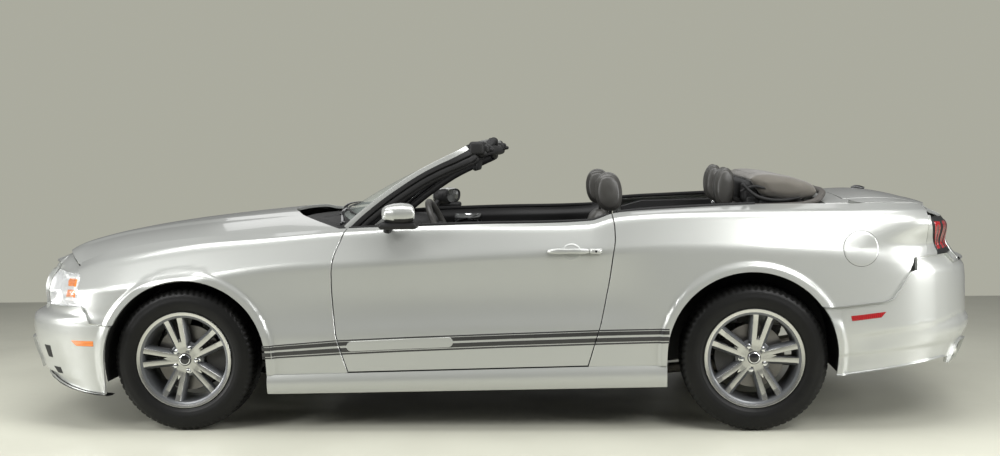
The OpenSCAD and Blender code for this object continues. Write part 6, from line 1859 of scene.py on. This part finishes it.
def seat_part(name, profile, front, half, y0, centre_half, cross, soft, voxel=19.0, most=14.0):
    """A padded seat part with two seams from front to back and cross channels between them, and its
    stitches."""
    data = foam(name, profile, half, y0, soft, voxel=voxel, most=most)
    full = np.sum(np.linalg.norm(np.diff(front, axis=0), axis=1))

    def depth(points, normals):
        away, along = profile_distance(points, front)
        side = np.abs(points[:, 1] - y0) - centre_half
        shown = ease((70 - away) / 30)
        total = groove(side, SEAM_WIDTH, SEAM_PRESSED) * shown
        for share in cross:
            total = total + groove(along - share * full, 6.5, 5.0) * shown * ease(-side / 12)
        reach = shown if cross else 1.0
        round_edge = groove(np.abs(points[:, 1] - y0) - (half - 24), 4.5, 3.2) * reach
        crease = np.sin(points[:, 0] / 11 + 3 * np.sin(points[:, 1] / 47)) * np.sin(points[:, 2] / 17
            + points[:, 1] / 23)
        return total + round_edge + 0.7 * crease * shown * ease(side / 20)

    pressed(data, depth)
    lines = []
    for sense in (-1, 1):
        for off in (-STITCH_OFF, STITCH_OFF):
            path = smooth_line([(p[0], y0 + sense * (centre_half + off), p[1]) for p in front], 90)
            lines.append(on_surface(data, path, 0.5))
    stitches = repeated(name + "_stitches", lines, *SEAT_STITCH)
    return data, stitches


CUSHION = [(SEAT_X - 60, 330), (SEAT_X + 180, 338), (SEAT_X + 420, 350), (SEAT_X + 520, 380),
           (SEAT_X + 536, 440), (SEAT_X + 500, 480), (SEAT_X + 300, 472), (SEAT_X + 100, 448),
           (SEAT_X - 50, 430)]
CUSHION_TOP = [(SEAT_X + 40, 441), (SEAT_X + 180, 455), (SEAT_X + 320, 472), (SEAT_X + 470, 478),
               (SEAT_X + 528, 446)]
BACK = [(SEAT_X - 40, 432), (SEAT_X + 76, 452), (SEAT_X + 70, 560), (SEAT_X + 10, 720), (SEAT_X - 30, 820),
        (SEAT_X - 60, 900), (SEAT_X - 92, 1000), (SEAT_X - 150, 1004), (SEAT_X - 174, 960),
        (SEAT_X - 162, 860), (SEAT_X - 150, 760), (SEAT_X - 128, 640), (SEAT_X - 112, 520)]
BACK_FRONT = [(SEAT_X + 68, 520), (SEAT_X + 44, 630), (SEAT_X + 6, 730), (SEAT_X - 30, 820),
              (SEAT_X - 62, 910), (SEAT_X - 92, 992)]
REST = [(SEAT_X - 174, 1018), (SEAT_X - 96, 1010), (SEAT_X - 54, 1052), (SEAT_X - 44, 1140),
        (SEAT_X - 66, 1200), (SEAT_X - 124, 1214), (SEAT_X - 172, 1188), (SEAT_X - 190, 1100)]
REST_FRONT = [(SEAT_X - 64, 1062), (SEAT_X - 54, 1110), (SEAT_X - 58, 1150), (SEAT_X - 80, 1192)]
front_parts = [seat_part("cushion", CUSHION, CUSHION_TOP, 250, SEAT_Y, 118, (0.3, 0.62), 60),
               seat_part("backrest", BACK, BACK_FRONT, 250, SEAT_Y, 118, (0.28, 0.55, 0.8), 70),
               seat_part("headrest", REST, REST_FRONT, 135, SEAT_Y, 74, (), 46, 15)]
seat_base = [slab((SEAT_X - 42, SEAT_Y + s * 190 - 15, 254), (SEAT_X + 430, SEAT_Y + s * 190 + 15, 350), 5)
             for s in (-1, 1)]
seat_base += [swept([(SEAT_X - 122, SEAT_Y + s * 60, 985),
                     (SEAT_X - 128, SEAT_Y + s * 60, 1050)], ring_shape(6.5, 6.5, 14),
                    (0, 1, 0), count=4) for s in (-1, 1)]
seat_base.append(slab((SEAT_X + 20, SEAT_Y + 212, 352), (SEAT_X + 340, SEAT_Y + 238, 404), 9))
base_mesh = joined("seat_base", seat_base)
stitch_meshes = []
for side, shift in (("left", (0, 0, 0)), ("right", (54, -2 * SEAT_Y, 0))):
    for (data, stitches), part in zip(front_parts, ("cushion", "backrest", "headrest")):
        piece = place(f"{part}_{side}", moved_copy(data, shift), leather, "body", "seat_leather",
                      (f"seat_{side}",) if part == "cushion" else ())
        stitch_meshes.append(moved_copy(stitches, shift))
    place(f"seat_base_{side}", moved_copy(base_mesh, shift), trim_black)

# Rear seat: two moulded places of the same sewn leather over foam, clipped to the step of the floor, with
# separate headrests on steel posts.
RISER_X, KICK_X = AXLE_R + 520, AXLE_R + 130
rear_cushion = [(RISER_X - 14, 362), (RISER_X - 6, 430), (RISER_X - 26, 478), (RISER_X - 160, 466),
                (RISER_X - 300, 446), (KICK_X + 8, 420), (KICK_X + 8, 362), (RISER_X - 200, 362)]
rear_back = [(RISER_X - 300, 424), (RISER_X - 240, 454), (RISER_X - 290, 640), (RISER_X - 326, 770),
             (RISER_X - 360, 900), (RISER_X - 400, 958), (RISER_X - 450, 950), (RISER_X - 444, 850),
             (RISER_X - 436, 740), (RISER_X - 398, 520), (KICK_X + 8, 440)]
rear_rest = [(RISER_X - 458, 1024), (RISER_X - 402, 1026), (RISER_X - 378, 1100), (RISER_X - 388, 1184),
             (RISER_X - 430, 1236), (RISER_X - 472, 1210), (RISER_X - 480, 1090)]
rear_parts = [seat_part("rear_cushion", rear_cushion, [(RISER_X - 24, 474), (RISER_X - 160, 466),
                                                       (RISER_X - 300, 446)], 255, 285,
                        128, (0.5,), 60),
              seat_part("rear_back", rear_back,
                        [(RISER_X - 256, 510), (RISER_X - 290, 640), (RISER_X - 326, 770),
                                                 (RISER_X - 362, 900)], 255, 285, 128, (0.4, 0.75), 60),
              seat_part("rear_rest", rear_rest, [(RISER_X - 382, 1085), (RISER_X - 382, 1150),
                                                 (RISER_X - 406, 1212)], 120, 330,
                        64, (), 34, 11, 9)]
for side, flip in (("left", False), ("right", True)):
    for (data, stitches), part in zip(rear_parts, ("rear_cushion", "rear_back", "rear_headrest")):
        piece = place(f"{part}_{side}", moved_copy(data, (0, 0, 0), flip), leather, "body", "seat_leather",
                      ("rear_seat",) if part == "rear_cushion" and not flip else ())
        stitch_meshes.append(moved_copy(stitches, (0, 0, 0), flip))
place("seat_stitches", joined("stitches", stitch_meshes), thread, "body", "seat_leather")
posts = [swept([(RISER_X - 424, sense * 330 + k, 900), (RISER_X - 430, sense * 330 + k, 1050)],
               ring_shape(6.5, 6.5, 14), (0, 1, 0), count=4) for sense in (-1, 1) for k in (-50, 50)]
place("rear_posts", joined("posts", posts), chrome, "body", "body_steel")

# Folded top: thick woven cloth over padding, folded in three layers behind the rear seat. It hangs on black
# steel links that are bolted to the body at each side.
canvas = Finish("top_canvas", (0.085, 0.08, 0.073), 0.86, Sheen_Weight=0.25, Sheen_Roughness=0.5)
weave = (canvas.axes()[1] * 3400).sin() * (canvas.axes()[0] * 3400).sin() * 0.5 + 0.5
canvas.feed("Base Color", canvas.mix(weave * 0.5 + canvas.noise(5, 5) * 0.5,
                                     (0.064, 0.058, 0.047), (0.120, 0.110, 0.092)))
canvas.rough(20, 3, 0.12, 0.8)
canvas.bump(weave, 0.0004, 0.6)
TOP = AXLE_R
cover = [(TOP - 4, 1180), (TOP - 40, 1192), (TOP - 90, 1194), (TOP - 150, 1188), (TOP - 230, 1172),
         (TOP - 300, 1150), (TOP - 332, 1130), (TOP - 342, 1106), (TOP - 330, 1080), (TOP - 270, 1070),
         (TOP - 210, 1066), (TOP - 130, 1078), (TOP - 66, 1092), (TOP - 54, 1104), (TOP - 32, 1138),
         (TOP - 14, 1164)]
top_mesh = foam("top_cover", cover, 636, 0, 34, inset=2, voxel=17, pressure=2.0, most=6, rounds=2)


def top_shape(points, normals):
    side = np.clip((np.abs(points[:, 1]) - 400) / 230, 0, 1)
    run = np.sin(points[:, 0] / 31 + 1.4 * np.sin(points[:, 1] / 120)) * np.sin(points[:, 2] / 19
        + points[:, 0] / 90)
    bow = np.exp(-((np.abs(points[:, 1]) - 300) / 26) ** 2)
    sag = np.sin(points[:, 1] / 88) * np.sin(points[:, 0] / 83 + 1.3)
    return 1.6 * side * run - 2.0 * (1 - bow) + 1.6 * sag


pressed(top_mesh, top_shape)
piece = place("top_cover", top_mesh, canvas, "body", "top_fabric", ("folded_top",))
fold_lines = []
for y in (-304, -296, 296, 304):
    fold_lines.append(on_surface(top_mesh, [(x, y, 1230) for x in np.linspace(TOP - 322, TOP - 24, 60)], 0.4))
for x in (TOP - 306, TOP - 44):
    fold_lines.append(on_surface(top_mesh, [(x, y, 1230) for y in np.linspace(-600, 600, 160)], 0.4))
place("top_stitches", repeated("top_stitches", fold_lines, *TOP_STITCH), thread, "body", "top_fabric")
# A black block fills the hollow under the front of the folded top. It is painted shade, standing for the dark
# hollow of the well.
shade_blocks = [slab((TOP - 270, -580, 1036), (TOP + 2, 580, 1086), 14),
        slab((TOP - 60, -570, 1060), (TOP + 14, 570, 1160), 20),
        slab((TOP - 200, -600, 1040), (TOP - 60, 600, 1074), 12)]
place("top_shade_blocks", joined("shade_blocks", shade_blocks), seal_rubber, "body", "top_fabric")
links = []
for sense in (-1, 1):
    y = sense * 606
    links.append(swept([(TOP + 26, y, 1150), (TOP - 40, y, 1092), (TOP - 160, y, 1068), (TOP - 250, y, 1080)],
                       ring_shape(9, 13, 16, 3), (0, 1, 0), [0.8, 1, 1, 0.8], 28))
    links.append(swept([(TOP + 30, sense * 596, 1112), (TOP - 20, sense * 600, 1134),
                        (TOP - 150, sense * 606, 1104)],
                       ring_shape(7, 11, 16, 3), (0, 1, 0), [0.8, 1, 0.8], 20))
    links.append(swept([(TOP - 62, sense * 548, 1032), (TOP - 66, sense * 560, 1064), (TOP - 40, y, 1090)],
                       ring_shape(10, 8, 16, 3), (1, 0, 0), [1.3, 1, 0.9], 16))
    for x, z in ((TOP - 40, 1092), (TOP + 20, 1144), (TOP - 160, 1068)):
        links.append(slab((x - 9, y - 11, z - 9), (x + 9, y + 11, z + 9), 7, 3))
place("top_links", joined("links", links), trim_black, "body", "body_steel")

# Well edge and belt strips: black rubber clipped over the top of each door and quarter, and a padded lip
# and lining round the well of the top.
def top_edge(x_list, out, up):
    x = np.asarray(x_list, float)
    return np.stack([x, top_y(x) - out, top_z(x) + up], -1)


door_strip = swept(top_edge(np.linspace(640, -598, 90), 15, 1.5), ring_shape(17, 9, 14, 3), (0, 0, 1),
                   [0.5, 1, 1, 1, 1, 1, 0.8])
quarter_strip = swept(top_edge(np.linspace(-646, -1300, 60), 15, 1.5), ring_shape(17, 9, 14, 3), (0, 0, 1),
                      [0.8, 1, 1, 1, 1])
for side, body, flip in (("left", "door_left", False), ("right", "door_right", True)):
    place("belt_strip_" + side, mirror_mesh(door_strip) if flip else door_strip.copy(), seal_rubber, body,
          "black_plastic")
    place("quarter_strip_" + side, mirror_mesh(quarter_strip) if flip else quarter_strip.copy(), seal_rubber)
well_trim = Finish("well_trim", (0.055, 0.05, 0.045), 0.7)
well_trim.tint(60, 4, (0.042, 0.038, 0.034), (0.075, 0.069, 0.062))
well_trim.bump(well_trim.cells(700), 0.0003, 0.4)
half = [(-1290, 728, 1052), (-1370, 712, 1050), (-1460, 694, 1050), (-1550, 668, 1054), (-1606, 644, 1070),
        (-1634, 604, 1094), (-1642, 520, 1104), (-1644, 300, 1107), (-1644, 0, 1108)]
lip_path = half + [(x, -y, z) for x, y, z in half[-2::-1]]
place("well_lip", swept(lip_path, ring_shape(15, 13, 18, 2.6), (0, 0, 1),
                        [0.6, 1, 1.2, 1.25, 1.25, 1.2, 1, 0.6], 200), well_trim,
      "body", "top_fabric")
well_floor = [[(x, q * lerp(700, 610, s), 1028 - 4 * s) for q in np.linspace(1, -1, 30)]
              for s, x in zip(np.linspace(0, 1, 10), np.linspace(-1250, -1618, 10))]
place("well_floor", grid_mesh("well_floor", np.array(well_floor)), well_trim, "body", "top_fabric")

# Nose filler: the painted panel that closes the nose between the hood's front edge, the lamps and the
# bumper. It is screwed down under the hood.
share, t = np.meshgrid(np.linspace(1, -1, 121), np.linspace(0, 1, 26), indexing="ij")
low_z = lerp(778.0, 759.0, ease((np.abs(share) - 0.50) / 0.06))
fender_angle = nose_angle(eased_lookup(FENDER_CUT, 762.0, 10) + CUT_SEAM + 1, np.full(share.shape, 762.0))
from_hood = hood_pt(0 * share, share) + np.array([-6, 0, -16])
to_nose = nose_pt(share * fender_angle, low_z)
bulge = nose_pt(share * fender_angle, low_z + 27)
bulge[..., 2] = np.maximum(bulge[..., 2], from_hood[..., 2] * 0.35 + (low_z + 27) * 0.65)
filler = from_hood * ((1 - t) ** 2)[..., None] + bulge * (2 * t * (1 - t))[..., None] + to_nose * (t
        * t)[..., None]
place("nose_filler", panel_mesh("filler", [(filler, None)], 6), silver, "body", "silver_paint")

# Small closing pieces: the black vents at the front bumper's corners, the painted strips that close the
# tail, the antenna's moulded puck on the boot lid, and the rolled steel ends of the exhaust pipes.
for number, spot in enumerate((((2168, 2134), (345, 404), 0.35), ((2110, 2076), (270, 299), 0.9))):
    (x_far, x_near), (z_low, z_high), lean = spot
    vent = patch(on_nose, lambda z: x_far + (z - z_low) * lean, lambda z: x_near + (z - z_low) * lean * 0.4,
                 constant(z_low), constant(z_high), 14, 10, 0.8)
    both_sides("corner_vent_" + str(number), vent, trim_black, "black_plastic", fold=2)
closing = tail_field(lambda z: tail_angle(np.full(z.shape, QUARTER_END + 34.0), z), lambda z: lid_angle(z)
                     * 0.2, 690, 812, 70, 16)
both_sides("tail_closing", lifted(closing, -7), silver, "silver_paint", fold=3)
corner_fill = tail_field(lambda z: tail_angle(np.full(z.shape, QUARTER_END + 62.0), z),
                         lambda z: lamp_angle(z) + 0.6, 752, 820, 40, 20)
both_sides("corner_fill", lifted(corner_fill, -2.2), silver, "silver_paint", fold=1)
puck = swept([(-2006, -300, 1082), (-1990, -300, 1084), (-1960, -300, 1088), (-1936, -300, 1086)],
             ring_shape(24, 11, 24, 2.4), (0, 0, 1), [0.5, 0.95, 1, 0.4], 24)
puck.transform(Matrix.Translation(Vector((0, 0, float(deck_crown_z(-1970.0, -300.0)) - 1080)) * MM))
place("antenna_puck", puck, gloss_black, "trunk_lid", "black_plastic")
TIP_X, TIP_Y, TIP_Z = -2264.0, 600.0, 350.0
# Each pipe's bore is closed 110 mm inside by a dark disc. It is partly soot and partly painted shade of the
# deep bore.
pipe_end = spun([(-24, 37.2), (1.5, 37.4), (3.4, 35.6), (2.6, 33.6), (-110, 32.6), (-112, 0.2)][::-1], 48,
                [1, 0, 0, 0, 0])
pipe_end.transform(Matrix.Translation(Vector((TIP_X, TIP_Y, TIP_Z))
                                      * MM) @ Matrix.Rotation(math.radians(90), 4, "Z"))
# Dark finish of the closing discs: real soot, and painted shade of the bore.
soot_and_shade = Finish("soot_and_shade", (0.02, 0.019, 0.018), 0.85)
soot_and_shade.tint(40, 4, (0.012, 0.011, 0.010), (0.045, 0.042, 0.038))
both = joined("pipe_ends", [pipe_end, mirror_mesh(pipe_end)])
place("pipe_ends", both, [chrome, soot_and_shade], "body", "exhaust_steel")

# Inner panels: the pressed steel frame bonded under the boot lid and painted like it, and the quilted felt
# pad clipped under the hood.
lid_inner = lid_grid()
s, t = np.linspace(0, 1, lid_inner.shape[0])[:, None], np.linspace(0, 1, lid_inner.shape[1])[None, :]
ribs = window((t * 5) % 1, 0.2, 0.8, 0.14) * window(s, 0.10, 0.36, 0.03)
rim_fade = ease(np.minimum(np.minimum(s, 1 - s) * 26, np.minimum(t, 1 - t) * 30))
lid_under = lifted(lid_inner, -(10 + 9 * rim_fade + 7 * ribs))
place("lid_inner", grid_mesh("lid_inner", lid_under[::-1], angle=50), silver, "trunk_lid", "silver_paint",
      ("trunk_lid",))
felt = Finish("hood_felt", (0.03, 0.03, 0.031), 0.95)
felt.tint(300, 4, (0.018, 0.018, 0.019), (0.05, 0.05, 0.051))
felt.bump(felt.noise(500, 3), 0.0006, 0.6)
share, across = np.meshgrid(np.linspace(0.04, 0.95, 60), np.linspace(0.9, -0.9, 81), indexing="ij")
pad = hood_pt(share, across)
quilt = window((share * 9) % 1, 0.12, 0.88, 0.2) * window(((across + 1) * 6) % 1, 0.12, 0.88, 0.2)
place("hood_pad", grid_mesh("hood_pad", lifted(pad, -(15 + 4 * quilt))[::-1], angle=60), felt, "hood",
      "black_plastic")

# Materials of the CAD nodes that still show: pressed and cast steel below, pipes, the carpet on the floor,
# and the engine's plain block.
steel = Finish("dark_steel", (0.05, 0.05, 0.05), 0.55, metallic=0.6)
steel.tint(22, 6, (0.028, 0.028, 0.028), (0.075, 0.073, 0.07))
steel.rough(60, 4, 0.3, 0.4)
carpet = Finish("floor_carpet", (0.02, 0.02, 0.021), 0.95)
carpet.tint(700, 3, (0.010, 0.010, 0.011), (0.034, 0.034, 0.035))
carpet.bump(carpet.noise(900, 3), 0.0012, 0.8)
cast_iron = Finish("cast_iron", (0.26, 0.25, 0.24), 0.38, metallic=0.9)
cast_iron.rough(300, 3, 0.2, 0.28)
cast_iron.tint(12, 5, (0.15, 0.14, 0.13), (0.33, 0.32, 0.31))
pipe_steel = Finish("pipe_steel", (0.30, 0.29, 0.27), 0.4, metallic=0.9)
pipe_steel.tint(9, 6, (0.16, 0.13, 0.10), (0.36, 0.35, 0.34))
pipe_steel.rough(40, 4, 0.25, 0.3)
CAD_FINISH = {"floor_pan": carpet, "front_structure": silver, "rear_structure": silver,
              "cabin_trim": trim_black, "engine": steel, "front_suspension": steel, "rear_axle": steel,
              "exhaust_left": pipe_steel, "exhaust_right": pipe_steel, "knuckle_left": steel,
              "knuckle_right": steel}
for name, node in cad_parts.items():
    finish = CAD_FINISH.get(name, cast_iron if name.startswith("disc") else None)
    if finish is not None:
        node.data.materials.clear()
        node.data.materials.append(finish.material)
